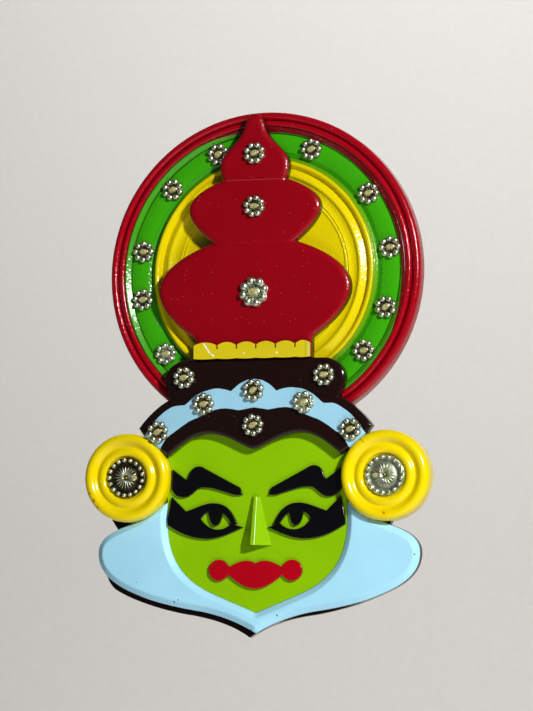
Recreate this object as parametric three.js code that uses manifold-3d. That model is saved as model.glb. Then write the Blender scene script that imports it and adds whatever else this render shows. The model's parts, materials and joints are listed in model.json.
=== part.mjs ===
// Wall plaque in the shape of a Kathakali dancer's head: painted cut-outs of board, glued in layers,
// with a turned disc for the halo, two turned ear discs and stuck-on flower stones.
// Millimetres, +Z up. The flat back lies in the plane Y = 0 and the front faces -Y.
// X = 0 is the middle line of the face, Z = 0 is the height of the halo disc's centre,
// and left and right are as seen from the front.

import * as THREE from 'three';
import { mergeVertices } from 'three/addons/utils/BufferGeometryUtils.js';
import Module from 'manifold-3d';

const wasm = await Module();
wasm.setup();

// Driving sizes: how thick each layer is, counted from the wall.
const glueGap = 0.3; // glue line between any two pieces
const boardThickness = 8;
const faceThickness = 8;
const crownThickness = 10;
const headbandThickness = 10;
const cutoutThickness = 3; // brows, eyes, lips and bead band
const collarRise = 4; // how far the collar stands above the face
const frontEdgeRound = 1.6; // broken front edge of crown and headband

// Driving sizes: outlines.
const haloRadius = 140;
const haloRimWidth = 15.3; // the two beads round the disc's edge
const haloShift = 4; // the disc is fixed this far to the right of the middle line
const crownShift = -1.2; // the crown sits this far to the left of it
const boardShift = -8; // the back board is fixed this far to the left of it
const headbandLap = 63.7; // how far the headband's top edge stands above the disc's lower edge
const headbandHalfWidth = 104.4;
const headbandHeight = 82.2;
const crownInset = 15.5; // from the ring of stones' flat band in to the crown's widest point
const crownTipDrop = 3; // from the disc's top edge down to the crown's tip
const crownFootHalfWidth = 52.4;
const beadCount = 6;
const beadHeight = 14.8;
const beadNotch = 2.6;
const beadUnevenness = 3.8; // how much wider the first bead is than the rest, and the last narrower
const faceHalfWidth = 80.3;
const chinDrop = 216.5; // from the headband's top edge, as all the drops below it
const jawHeight = 80.8; // from the chin up to where the cheeks run straight
const collarWidth = 63.4; // from the cheek out to the collar's side tip
const collarHeight = 112.3; // from its hidden top ends down to its point
const collarPointDrop = 17.5; // from the chin down to the collar's point
const collarBevelWidth = 5.2;
const collarBevelDepth = 4.2;
const boardLobeRadius = 30; // the board's round lobe behind each ear
const boardPointDrop = 3.7; // how far the board shows below the collar's point

// Driving sizes: ears, features and stones.
const earOutset = 35.1; // from the cheek out to the ear's centre
const earDrop = 100.7;
const earRadius = 38.5;
const earThickness = 20.7;
const medallionRadius = 18;
const medallionHeight = 5;
const medallionFit = 0.6; // play between the medallion and its recess
const medallionLobes = 16;
const browInnerX = 11.7;
const browMargin = 4.1; // from the brow's outer end to the cheek's edge
const browDrop = 104.4;
const eyeInnerX = 10.9;
const eyeMargin = 0.8; // from the eye's outer end to the cheek's edge
const eyeDrop = 135.7;
const noseDrop = 117.7;
const noseLength = 41.5;
const noseRise = 12;
const noseTopRise = 3.3;
const noseWidth = 27.6;
const noseTopWidth = 6.8;
const noseRidgeWidth = 2.4;
const lipsHalfWidth = 41.7;
const lipsDrop = 180.4;
const lipLobeRadius = 9.1;
const broochRadius = 10;
const broochHeight = 5;
const bigBroochRadius = 13.5;
const bigBroochHeight = 6;
const broochLobes = 8;
const broochMargin = 1.6; // flat wood left on each side of the ring of stones
const broochRingShift = 1.2; // the ring of stones is set this far to the right of the disc's centre
const haloBroochAngles = [68.5, 35, 9, -17.3, -38.4, 112.3, 138.3, 169.1, 190.6, 217.5];

// The halo disc is as deep as board and face together, so crown and headband lie flat across both.
const faceFront = boardThickness + glueGap + faceThickness;
const haloThickness = faceFront;
const faceBack = boardThickness + glueGap;
const crownBack = faceFront + glueGap;
const crownFront = crownBack + crownThickness;
const headbandFront = crownBack + headbandThickness;

// Heights above and below the disc's centre, and what follows from them.
const headbandTopZ = headbandLap - haloRadius;
const crownFootZ = headbandTopZ + glueGap;
const crownHeight = haloRadius - crownTipDrop - crownFootZ;
const chinZ = headbandTopZ - chinDrop;
const earZ = headbandTopZ - earDrop;
const browZ = headbandTopZ - browDrop;
const eyeZ = headbandTopZ - eyeDrop;
const noseTopZ = headbandTopZ - noseDrop;
const lipsZ = headbandTopZ - lipsDrop;
const earX = faceHalfWidth + earOutset;
const earRecessFloor = earThickness - medallionHeight - glueGap;
const bandOuter = haloRadius - haloRimWidth;
const bandInner = bandOuter - 2 * (broochRadius + broochMargin);
const crownHalfWidth = bandInner - crownInset;
const browLength = faceHalfWidth - browMargin - browInnerX;
const eyeLength = faceHalfWidth - eyeMargin - eyeInnerX;
const curveSteps = 4; // points on each curve of an outline

const paint = (name, color, roughness = 0.22, metalness = 0) =>
  new THREE.MeshStandardMaterial({ name, color, roughness, metalness });

const materials = {
  darkBrown: paint('dark brown enamel', 0x1e0d0c),
  red: paint('crimson enamel', 0x93001a),
  haloGreen: paint('grass green enamel', 0x3aa80c),
  yellow: paint('yellow enamel', 0xe6cf00),
  ochre: paint('ochre enamel', 0xd8c128, 0.35),
  faceGreen: paint('lime green enamel', 0x8cc000),
  lightBlue: paint('light blue enamel', 0xa5dcf2),
  black: paint('black enamel', 0x0a0a0e),
  lipRed: paint('lip red enamel', 0xb20014),
  stone: paint('silvered stone', 0xb9b98e, 0.15, 0.9),
};

// Solids from meshes, and back.

function toSolid(geometry) {
  geometry.deleteAttribute('normal');
  geometry.deleteAttribute('uv');
  const welded = mergeVertices(geometry, 1e-4);
  const corners = welded.index.array;
  const kept = [];
  for (let i = 0; i < corners.length; i += 3) {
    const [a, b, c] = [corners[i], corners[i + 1], corners[i + 2]];
    if (a !== b && b !== c && c !== a) kept.push(a, b, c);
  }
  const vertProperties = new Float32Array(welded.attributes.position.array);
  const triVerts = new Uint32Array(kept);
  return new wasm.Manifold(new wasm.Mesh({ numProp: 3, vertProperties, triVerts }));
}

function toGeometry(solid) {
  const { vertProperties, triVerts } = solid.getMesh();
  const geometry = new THREE.BufferGeometry();
  geometry.setAttribute('position', new THREE.BufferAttribute(new Float32Array(vertProperties), 3));
  geometry.setIndex(new THREE.BufferAttribute(new Uint32Array(triVerts), 1));
  geometry.computeVertexNormals();
  return geometry;
}

// Outlines: a path down the right-hand side, its mirror image, and a pen that draws in shares
// of a width and a height.

function pen(halfWidth, height, topZ) {
  const path = new THREE.Path();
  const at = (x, z) => [x * halfWidth, topZ + z * height];
  const draw = {
    path,
    move: (x, z) => (path.moveTo(...at(x, z)), draw),
    line: (x, z) => (path.lineTo(...at(x, z)), draw),
    curve: (a, b, c, d, x, z) => (path.bezierCurveTo(...at(a, b), ...at(c, d), ...at(x, z)), draw),
  };
  return draw;
}

function pathPoints(path, steps = curveSteps) {
  const points = path.getPoints(steps);
  return points.filter((p, i) => i === 0 || p.distanceTo(points[i - 1]) > 0.01);
}

function mirrored(path, steps = curveSteps) {
  const right = pathPoints(path, steps);
  const offAxis = right.filter((p) => Math.abs(p.x) > 0.01);
  const left = offAxis.reverse().map((p) => new THREE.Vector2(-p.x, p.y));
  return [...right, ...left];
}

const shifted = (points, dx, dz) => points.map((p) => new THREE.Vector2(p.x + dx, p.y + dz));

// Shapes lie with their back on z = 0 and their front towards +z until the plaque is stood up.

function cutBack(solid, depth) {
  const slab = new THREE.BoxGeometry(4 * haloRadius, 8 * haloRadius, 2 * depth);
  slab.translate(0, 0, -depth);
  return solid.subtract(toSolid(slab));
}

function plate(outline, thickness, bevelWidth = 0, bevelDepth = bevelWidth, holes = []) {
  const shape = new THREE.Shape(outline);
  shape.holes = holes.map((points) => new THREE.Path(points));
  const geometry = new THREE.ExtrudeGeometry(shape, {
    depth: thickness - bevelDepth,
    bevelEnabled: bevelDepth > 0,
    bevelThickness: bevelDepth,
    bevelSize: bevelWidth,
    bevelOffset: -bevelWidth,
    bevelSegments: 1,
  });
  const solid = toSolid(geometry);
  return bevelDepth > 0 ? cutBack(solid, bevelDepth) : solid;
}

function turned(profile, segments) {
  const points = profile.map(([r, h]) => new THREE.Vector2(r, h));
  const geometry = new THREE.LatheGeometry(points, segments);
  geometry.rotateX(Math.PI / 2);
  return geometry;
}

function cylinder(radius, height) {
  return turned([[0, 0], [radius, 0], [radius, height], [0, height]], 48);
}

// A pressed stone: a low dome whose edge is drawn in between its lobes.
function flower(radius, height, lobes, crest, eye) {
  const rimHeight = 0.42 * height;
  const rim = [[0, 0], [0.84 * radius, 0], [radius, rimHeight], [crest * radius, height]];
  const profile = [...rim, ...eye, [0, 0.8 * height]];
  const geometry = turned(profile, 2 * lobes);
  const position = geometry.attributes.position;
  for (let i = 0; i < position.count; i++) {
    const r = Math.hypot(position.getX(i), position.getY(i));
    const angle = Math.atan2(position.getY(i), position.getX(i));
    const pinch = 1 - 0.12 * (r / radius) * (0.5 - 0.5 * Math.cos(lobes * angle));
    position.setX(i, position.getX(i) * pinch);
    position.setY(i, position.getY(i) * pinch);
  }
  return toSolid(geometry);
}

// The plaque, built lying on its back and stood up by turning the group.

const plaque = new THREE.Group();
plaque.rotation.x = Math.PI / 2;

function add(name, solid, material, x = 0, z = 0, height = 0) {
  const mesh = new THREE.Mesh(toGeometry(solid), material);
  mesh.name = name;
  mesh.position.set(x, z, height);
  plaque.add(mesh);
}

// Halo: one disc turned on a lathe. Two beads at the rim, a flat band just wide enough for the ring
// of stones, a cove and a bead inside it, and fine lines round the plain middle.
// Rim radii are shares of the rim's width, counted inwards; the middle's are shares of its own radius.
const rimProfile = [
  [0.092, 0], [0, 0.09], [0, 0.62], [0.06, 0.84], [0.2, 0.98], [0.32, 0.98], [0.44, 0.87],
  [0.49, 0.79], [0.56, 0.9], [0.72, 1], [0.87, 0.97], [0.9, 0.92], [0.99, 0.77], [1, 0.74],
];
const middleProfile = [
  [1, 0.74], [0.99, 0.71], [0.975, 0.8], [0.965, 0.95], [0.935, 1],
  [0.91, 0.93], [0.897, 0.76], [0.888, 0.83], [0.86, 0.87], [0.839, 0.83], [0.83, 0.78], [0.79, 0.67],
  [0.751, 0.76], [0.73, 0.76], [0.717, 0.71], [0, 0.71],
];
const haloProfile = [
  [0, 0],
  ...rimProfile.map(([share, h]) => [haloRadius - share * haloRimWidth, h * haloThickness]),
  ...middleProfile.map(([share, h]) => [share * bandInner, h * haloThickness]),
];
const haloSegments = 48;
const haloFloor = 0.74 * haloThickness;
add('halo_disc', toSolid(turned(haloProfile, haloSegments)), materials.haloGreen, haloShift, 0, 0);

// What shares the wall with the disc is cut to an arc that clears it.
const haloClearance = toSolid(cylinder(haloRadius + 2 * glueGap, 2 * haloThickness))
  .translate(haloShift, 0, -0.5 * haloThickness);

// Ears: turned discs with an outer roll, a groove, an inner ring and a recess for the medallion.
const earRecessRadius = medallionRadius + medallionFit;
const earRingCentre = (earRecessRadius + 0.7 * earRadius) / 2;
const earProfile = [
  [0, 0], [0.975 * earRadius, 0], [earRadius, 0.05 * earThickness], [earRadius, 0.65 * earThickness],
  [0.975 * earRadius, 0.82 * earThickness], [0.915 * earRadius, 0.95 * earThickness],
  [0.83 * earRadius, earThickness], [0.755 * earRadius, 0.94 * earThickness],
  [0.7 * earRadius, 0.81 * earThickness], [0.4 * earRecessRadius + 0.42 * earRadius, 0.9 * earThickness],
  [earRingCentre, 0.94 * earThickness], [0.6 * earRecessRadius + 0.28 * earRadius, 0.9 * earThickness],
  [earRecessRadius, 0.81 * earThickness], [earRecessRadius, earRecessFloor], [0, earRecessFloor],
];
const earDisc = toSolid(turned(earProfile, 36));
const earPlaces = { left: -earX, right: earX };
const earClearance = toSolid(cylinder(earRadius + glueGap, 3 * earThickness));
function clearOfEars(solid) {
  const [left, right] = Object.values(earPlaces).map((x) => earClearance.translate(x, earZ, -earThickness));
  return solid.subtract(left).subtract(right);
}

// Headband: its ends are cut straight and stop against the ears.
function headbandOutline(grow = 0) {
  return mirrored(
    pen(headbandHalfWidth + grow, headbandHeight, headbandTopZ + grow)
      .move(0, 0)
      .line(0.594, 0)
      .curve(0.67, 0, 0.762, -0.07, 0.771, -0.185)
      .curve(0.776, -0.276, 0.738, -0.337, 0.726, -0.408)
      .curve(0.805, -0.446, 0.929, -0.58, 1, -0.708)
      .line(0.958, -0.785)
      .line(0.818, -0.933 - grow / headbandHeight)
      .line(0.738, -1)
      .curve(0.632, -0.897, 0.527, -0.774, 0.393, -0.774)
      .curve(0.259, -0.774, 0.15, -0.871, 0.055, -0.921)
      .curve(0.035, -0.932, 0.018, -0.94, 0, -0.94).path,
  );
}
const headband = plate(headbandOutline(), headbandThickness, frontEdgeRound);
add('headband_plate', headband, materials.darkBrown, 0, 0, crownBack);

const headbandClearance = plate(headbandOutline(2 * glueGap), 3 * headbandThickness)
  .translate(0, 0, crownBack - faceBack - glueGap);
const medallion = flower(medallionRadius, medallionHeight, medallionLobes, 0.82,
  [[0.62 * medallionRadius, 0.45 * medallionHeight], [0.42 * medallionRadius, 0.75 * medallionHeight]]);
for (const [side, x] of Object.entries(earPlaces)) {
  const notched = earDisc.translate(x, earZ, 0).subtract(headbandClearance);
  add(`ear_disc_${side}`, notched, materials.yellow, 0, 0, faceBack);
  add(`ear_medallion_${side}`, medallion, materials.stone, x, earZ, faceBack + earRecessFloor + glueGap);
}

// Crown: three tiers in one cut-out, from the finial down to the foot at the headband.
const footShare = crownFootHalfWidth / crownHalfWidth;
const crownOutline = mirrored(
  pen(crownHalfWidth, crownHeight, crownFootZ + crownHeight)
    .move(0, 0)
    .curve(0.058, 0, 0.09, -0.02, 0.104, -0.045)
    .curve(0.13, -0.12, 0.36, -0.15, 0.36, -0.211)
    .curve(0.36, -0.235, 0.345, -0.258, 0.329, -0.27)
    .curve(0.5, -0.293, 0.688, -0.333, 0.688, -0.387)
    .curve(0.688, -0.422, 0.605, -0.47, 0.428, -0.526)
    .curve(0.767, -0.566, 1.012, -0.643, 1, -0.718)
    .curve(1, -0.779, 0.837, -0.859, footShare, -0.915)
    .line(footShare, -1).path,
);
const crown = plate(crownOutline, crownThickness, frontEdgeRound);
add('crown_plate', crown, materials.red, crownShift, 0, crownBack);

// Bead band: a thin strip across the crown's foot, scalloped above and below.
function beadBandOutline() {
  const pitch = (2 * crownFootHalfWidth) / beadCount;
  const notches = Array.from({ length: beadCount - 1 }, (_, i) => beadUnevenness + (i + 1) * pitch);
  const ends = [0, ...notches, beadCount * pitch].map((x) => x - crownFootHalfWidth);
  const shoulder = beadHeight - beadNotch;
  const dip = 0.375 * beadNotch;
  const path = new THREE.Path().moveTo(ends[0], dip);
  for (let i = 1; i < ends.length; i++) {
    path.quadraticCurveTo((ends[i - 1] + ends[i]) / 2, -dip, ends[i], dip);
  }
  path.lineTo(ends.at(-1), shoulder);
  for (let i = ends.length - 2; i >= 0; i--) {
    path.quadraticCurveTo((ends[i] + ends[i + 1]) / 2, beadHeight + beadNotch, ends[i], shoulder);
  }
  return pathPoints(path);
}
add('bead_band', plate(beadBandOutline(), cutoutThickness), materials.ochre,
  crownShift, headbandTopZ, crownFront + glueGap);

// Face: straight cheeks and a pointed chin. The collar's inner edge follows the same curve.
const cheekZ = chinZ + jawHeight;
function jaw(path, grow) {
  const x = (share) => share * faceHalfWidth + grow;
  const z = (share) => chinZ + share * jawHeight - grow;
  return path
    .bezierCurveTo(x(1), z(0.629), x(0.872), z(0.406), x(0.598), z(0.254))
    .bezierCurveTo(x(0.411), z(0.158), x(0.174), z(0.078), 0, z(0));
}
const facePath = new THREE.Path().moveTo(0, earZ + earRadius).lineTo(faceHalfWidth, earZ + earRadius)
  .lineTo(faceHalfWidth, cheekZ);
const face = plate(mirrored(jaw(facePath, 0)), faceThickness)
  .translate(0, 0, faceBack).subtract(haloClearance);
add('face_plate', clearOfEars(face), materials.faceGreen);

// Collar: a wide U under the face, bevelled outside and inside, its upper ends cut off by the ears.
// Its outer edge is drawn in shares of its width beyond the cheek, and of the whole half below the jaw.
function collarOutline() {
  const inner = faceHalfWidth + glueGap;
  const topZ = chinZ - collarPointDrop + collarHeight;
  const half = inner + collarWidth;
  const side = (share) => inner + share * collarWidth;
  const down = (share) => topZ - share * collarHeight;
  const outer = new THREE.Path()
    .moveTo(side(0.243), down(0.071))
    .bezierCurveTo(side(0.495), down(0.205), side(1), down(0.196), side(1), down(0.392))
    .bezierCurveTo(side(1), down(0.57), side(0.685), down(0.659), side(0.345), down(0.73))
    .bezierCurveTo(0.611 * half, down(0.776), 0.472 * half, down(0.812), 0.361 * half, down(0.833))
    .bezierCurveTo(0.25 * half, down(0.856), 0.125 * half, down(0.906), 0, down(1));
  const innerPath = jaw(new THREE.Path().moveTo(inner, topZ).lineTo(inner, cheekZ), glueGap);
  const right = [...pathPoints(outer).reverse(), ...pathPoints(innerPath)];
  const left = right.filter((p) => p.x > 0.01).reverse().map((p) => new THREE.Vector2(-p.x, p.y));
  return [...right, ...left];
}
const collar = plate(collarOutline(), faceThickness + collarRise, collarBevelWidth, collarBevelDepth)
  .translate(0, 0, faceBack);
add('collar', clearOfEars(collar), materials.lightBlue);

// Back board: carries face, collar and ears, and shows as a dark edge below them.
const boardHalf = earX + boardLobeRadius;
const boardPointZ = chinZ - collarPointDrop - boardPointDrop;
const boardTopZ = headbandTopZ - 0.6 * headbandHeight;
const out = (share) => share * boardHalf;
const above = (share) => boardPointZ + share * jawHeight;
const boardPath = new THREE.Path()
  .moveTo(0, boardTopZ)
  .lineTo(faceHalfWidth, boardTopZ)
  .lineTo(earX - 0.51 * boardLobeRadius, earZ + 0.86 * boardLobeRadius)
  .absarc(earX, earZ, boardLobeRadius, THREE.MathUtils.degToRad(120), THREE.MathUtils.degToRad(-45), true)
  .lineTo(out(0.832), above(1.145))
  .bezierCurveTo(out(0.924), above(0.916), out(0.938), above(0.644), out(0.846), above(0.507))
  .bezierCurveTo(out(0.722), above(0.37), out(0.5), above(0.265), out(0.358), above(0.232))
  .bezierCurveTo(out(0.26), above(0.2), out(0.12), above(0.15), 0, boardPointZ);
const board = plate(shifted(mirrored(boardPath), boardShift, 0), boardThickness).subtract(haloClearance);
add('base_board', board, materials.darkBrown);

// Brows and eyes: thin cut-outs, drawn for the right side and mirrored for the left.
// Each is drawn in shares of its length, from its inner end.
function featurePath(innerX, z, length) {
  const path = new THREE.Path();
  const at = (x, y) => [innerX + x * length, z + y * length];
  const draw = {
    path,
    move: (x, y) => (path.moveTo(...at(x, y)), draw),
    line: (x, y) => (path.lineTo(...at(x, y)), draw),
    curve: (a, b, c, d, x, y) => (path.bezierCurveTo(...at(a, b), ...at(c, d), ...at(x, y)), draw),
  };
  return draw;
}
const browPath = featurePath(browInnerX, browZ, browLength)
  .move(0, -0.181)
  .line(0.036, -0.085)
  .line(0.532, 0.174)
  .curve(0.6, 0.226, 0.68, 0.205, 0.721, 0.155)
  .curve(0.752, 0.12, 0.76, 0.03, 0.789, 0.023)
  .line(0.986, 0.166)
  .line(1, -0.1)
  .curve(0.96, -0.2, 0.82, -0.25, 0.72, -0.175)
  .curve(0.66, -0.13, 0.63, -0.08, 0.55, -0.08)
  .curve(0.4, -0.08, 0.3, -0.13, 0.1, -0.186).path;
const eyePath = featurePath(eyeInnerX, eyeZ, eyeLength)
  .move(0, -0.118)
  .line(0.111, -0.087)
  .line(0.08, -0.07)
  .curve(0.14, 0.05, 0.2, 0.187, 0.4, 0.187)
  .curve(0.52, 0.187, 0.66, 0.11, 0.76, 0.085)
  .line(0.945, 0.265)
  .line(1, 0)
  .line(1, -0.085)
  .curve(0.8, -0.225, 0.62, -0.262, 0.47, -0.262)
  .curve(0.34, -0.262, 0.2, -0.21, 0, -0.118).path;
const eyeHolePath = featurePath(eyeInnerX, eyeZ, eyeLength)
  .move(0.156, -0.068)
  .curve(0.26, -0.175, 0.44, -0.185, 0.562, -0.012)
  .curve(0.53, 0.035, 0.5, 0.06, 0.457, 0.073)
  .curve(0.45, -0.02, 0.42, -0.098, 0.366, -0.098)
  .curve(0.31, -0.098, 0.29, -0.03, 0.28, 0.062)
  .curve(0.23, 0.035, 0.19, -0.02, 0.156, -0.068).path;

const closed = (points) => (points[0].distanceTo(points.at(-1)) < 0.01 ? points.slice(0, -1) : points);
const brow = plate(closed(pathPoints(browPath)), cutoutThickness);
const eyeHole = closed(pathPoints(eyeHolePath, 3));
const eye = plate(closed(pathPoints(eyePath)), cutoutThickness, 0, 0, [eyeHole]);
for (const [name, solid] of [['eyebrow', brow], ['eye', eye]]) {
  const right = clearOfEars(solid);
  add(`${name}_left`, right.mirror([1, 0, 0]), materials.black, 0, 0, faceFront + glueGap);
  add(`${name}_right`, right, materials.black, 0, 0, faceFront + glueGap);
}

// Nose: a wedge with a narrow flat ridge that rises towards its square-cut lower end.
function noseWedge() {
  const top = { half: noseTopWidth / 2, ridge: noseRidgeWidth / 2, rise: noseTopRise, z: noseTopZ };
  const footZ = noseTopZ - noseLength;
  const foot = { half: noseWidth / 2, ridge: 0.75 * noseRidgeWidth, rise: noseRise, z: footZ };
  const ring = ({ half, ridge, rise, z }) =>
    [[-half, z, 0], [half, z, 0], [ridge, z, rise], [-ridge, z, rise]];
  const corners = [...ring(top), ...ring(foot)];
  const quads = [[0, 1, 2, 3], [7, 6, 5, 4], [1, 5, 6, 2], [2, 6, 7, 3], [3, 7, 4, 0], [0, 4, 5, 1]];
  const geometry = new THREE.BufferGeometry();
  geometry.setAttribute('position', new THREE.Float32BufferAttribute(corners.flat(), 3));
  geometry.setIndex(quads.flatMap(([a, b, c, d]) => [a, c, b, a, d, c]));
  return toSolid(geometry);
}
add('nose', noseWedge(), materials.faceGreen, 0, 0, faceFront + glueGap);

// Lips: a wide bow between two round lobes.
const lobeX = lipsHalfWidth - lipLobeRadius;
const lobeAngle = THREE.MathUtils.degToRad(155);
const lip = (share) => share * lipLobeRadius;
const wide = (share) => share * lipsHalfWidth;
const lipsPath = new THREE.Path()
  .moveTo(0, lip(0.63))
  .bezierCurveTo(wide(0.14), lip(1.12), wide(0.34), lip(0.9), wide(0.54), lip(0.37))
  .absarc(lobeX, 0, lipLobeRadius, lobeAngle, -lobeAngle, true)
  .bezierCurveTo(wide(0.41), lip(-1.08), wide(0.22), lip(-1.73), 0, lip(-1.73));
add('lips', plate(mirrored(lipsPath), cutoutThickness), materials.lipRed, 0, lipsZ, faceFront + glueGap);

// Flower stones, stuck on the halo's flat band, up the crown and across the headband.
const brooch = flower(broochRadius, broochHeight, broochLobes, 0.6, []);
const bigBrooch = flower(bigBroochRadius, bigBroochHeight, broochLobes, 0.6, []);

haloBroochAngles.forEach((degrees, i) => {
  const angle = THREE.MathUtils.degToRad(degrees);
  const ringRadius = (bandOuter + bandInner) / 2;
  const x = haloShift + broochRingShift + ringRadius * Math.cos(angle);
  const z = ringRadius * Math.sin(angle);
  const name = `halo_brooch_${String(i + 1).padStart(2, '0')}`;
  add(name, brooch, materials.stone, x, z, haloFloor + glueGap);
});

const crownBrooches = { top: [0.834, brooch], middle: [0.617, brooch], bottom: [0.268, bigBrooch] };
for (const [tier, [share, solid]] of Object.entries(crownBrooches)) {
  const z = crownFootZ + share * crownHeight;
  add(`crown_brooch_${tier}`, solid, materials.stone, 0, z, crownFront + glueGap);
}

const headbandBrooches = [[0, -0.331], [0, -0.695], [0.6, -0.185], [0.428, -0.466], [0.824, -0.752]];
const headbandPlaces = headbandBrooches.flatMap(([x, z]) => (x === 0 ? [[x, z]] : [[-x, z], [x, z]]));
headbandPlaces.forEach(([x, z], i) => {
  add(`headband_brooch_${i + 1}`, brooch, materials.stone,
    x * headbandHalfWidth, headbandTopZ + z * headbandHeight, headbandFront + glueGap);
});

export default plaque;
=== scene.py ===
# %% [markdown]
# A painted Kathakali wall plaque.
#
# The plaque is built up of glossy enamelled boards: a turned round halo, a tiered crown, a headband, a
# green face, a wide pale collar and two turned ear discs, with moulded flower stones stuck on them.
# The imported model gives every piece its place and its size. This lesson gives each piece its fine shape
# and its paint, one piece in each step. Lengths are metres, and MM turns the maker's millimetres into
# them. The plaque faces -Y, +Z is up, and its flat back lies in the plane Y = 0.

# %% Load the frame
import bmesh
import bpy
import json
import random
from math import cos, hypot, pi, radians, sin
from mathutils import Matrix, Quaternion, Vector
from mathutils.geometry import interpolate_bezier

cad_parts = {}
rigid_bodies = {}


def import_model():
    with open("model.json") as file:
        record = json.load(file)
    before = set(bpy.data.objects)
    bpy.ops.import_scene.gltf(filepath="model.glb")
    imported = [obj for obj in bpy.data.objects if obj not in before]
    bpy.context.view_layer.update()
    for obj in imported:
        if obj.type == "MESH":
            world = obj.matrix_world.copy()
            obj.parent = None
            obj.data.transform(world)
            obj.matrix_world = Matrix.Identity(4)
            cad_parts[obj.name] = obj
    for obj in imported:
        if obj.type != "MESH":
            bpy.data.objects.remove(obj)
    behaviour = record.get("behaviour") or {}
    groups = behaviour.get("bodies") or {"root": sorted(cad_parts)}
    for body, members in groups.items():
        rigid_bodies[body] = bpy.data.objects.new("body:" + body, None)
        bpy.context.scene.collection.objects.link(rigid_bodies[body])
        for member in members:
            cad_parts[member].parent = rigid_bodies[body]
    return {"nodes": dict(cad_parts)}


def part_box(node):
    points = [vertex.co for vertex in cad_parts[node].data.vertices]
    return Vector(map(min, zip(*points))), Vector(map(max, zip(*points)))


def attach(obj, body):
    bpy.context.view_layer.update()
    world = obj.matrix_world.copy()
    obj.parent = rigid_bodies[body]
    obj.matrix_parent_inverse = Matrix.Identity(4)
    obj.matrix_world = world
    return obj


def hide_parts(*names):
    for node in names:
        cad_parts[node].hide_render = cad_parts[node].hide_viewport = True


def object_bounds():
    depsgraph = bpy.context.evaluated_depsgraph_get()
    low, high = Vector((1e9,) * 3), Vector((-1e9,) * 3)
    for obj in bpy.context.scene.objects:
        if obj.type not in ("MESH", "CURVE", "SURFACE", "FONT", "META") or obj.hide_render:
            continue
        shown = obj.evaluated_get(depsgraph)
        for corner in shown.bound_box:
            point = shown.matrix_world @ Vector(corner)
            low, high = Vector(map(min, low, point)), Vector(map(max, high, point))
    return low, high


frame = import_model()
cad_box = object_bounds()
MM = 0.001
size = (cad_box[1] - cad_box[0]) / MM
print(f"plaque {size.x:.1f} wide, {size.z:.1f} high, {size.y:.1f} mm deep")


# %% [markdown]
# The camera stands a little to the right of the plaque and below its middle, and looks up at it from
# about two metres and a third with a long lens. Aim, direction and distance are easier to read than a
# bare place and rotation, so the camera is worked out from them.

# %% Camera
CAMERA_AIM = Vector((3.0, 0.4, -71.0)) * MM
CAMERA_TO_RIGHT = radians(17.29)
CAMERA_BELOW = radians(5.70)
CAMERA_ROLL = radians(0.33)
CAMERA_DISTANCE = 2.321
SENSOR = 36.0
FOCAL_IN_PIXELS = 2681.6
PICTURE_HEIGHT = 711

toward_camera = Vector((
    sin(CAMERA_TO_RIGHT) * cos(CAMERA_BELOW),
    -cos(CAMERA_TO_RIGHT) * cos(CAMERA_BELOW),
    -sin(CAMERA_BELOW),
))
camera = bpy.data.objects.new("camera", bpy.data.cameras.new("camera"))
camera.data.sensor_width = SENSOR
camera.data.lens = SENSOR * FOCAL_IN_PIXELS / PICTURE_HEIGHT
camera.location = CAMERA_AIM + toward_camera * CAMERA_DISTANCE
camera.rotation_mode = "QUATERNION"
turned = toward_camera.to_track_quat("Z", "Y")
camera.rotation_quaternion = turned @ Quaternion((0, 0, 1), CAMERA_ROLL)
bpy.context.scene.collection.objects.link(camera)
bpy.context.scene.camera = camera
print(f"lens {camera.data.lens:.1f} mm, camera at {tuple(round(c, 3) for c in camera.location)}")


# %% [markdown]
# Nodes are wired in every material, so one helper makes a node, sets it up, and either links a socket or
# writes a plain value into each named input. Two more open an empty material and close it with its
# shader, and the last turns a paint chip's numbers into the light that shaders reckon with. They keep
# the material cells short.

# %% Node helpers
def node(tree, kind, inputs=None, **settings):
    made = tree.nodes.new("ShaderNode" + kind)
    for key, value in settings.items():
        setattr(made, key, value)
    for key, value in (inputs or {}).items():
        if isinstance(value, bpy.types.NodeSocket):
            tree.links.new(value, made.inputs[key])
        else:
            made.inputs[key].default_value = value
    return made


def blank_material(name):
    material = bpy.data.materials.new(name)
    material.use_nodes = True
    material.node_tree.nodes.clear()
    return material, material.node_tree


def close_material(tree, shader):
    output = node(tree, "OutputMaterial")
    tree.links.new(shader.outputs[0], output.inputs["Surface"])


def linear(red, green, blue):
    """The 0 to 255 numbers of a paint chip as the linear colour that shaders take."""
    def channel(value):
        share = value / 255
        return share / 12.92 if share <= 0.04045 else ((share + 0.055) / 1.055) ** 2.4
    return (channel(red), channel(green), channel(blue), 1.0)


print(f"half grey is {linear(128, 128, 128)[0]:.3f} in linear light")


# %% [markdown]
# The stage is one pale sheet that lies as a floor well below the plaque and curves up into a backdrop
# far behind it, so that the plaque hangs free and can be looked at from behind as well. It is drawn as
# a line from the side and extruded across.

# %% Stage
FLOOR_Z = -1.3
STAGE_FRONT = -6.0
STAGE_BACK = 4.2
STAGE_TOP = 5.0
STAGE_HALF_WIDTH = 7.0
COVE_RADIUS = 1.2
COVE_POINTS = 24

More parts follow.
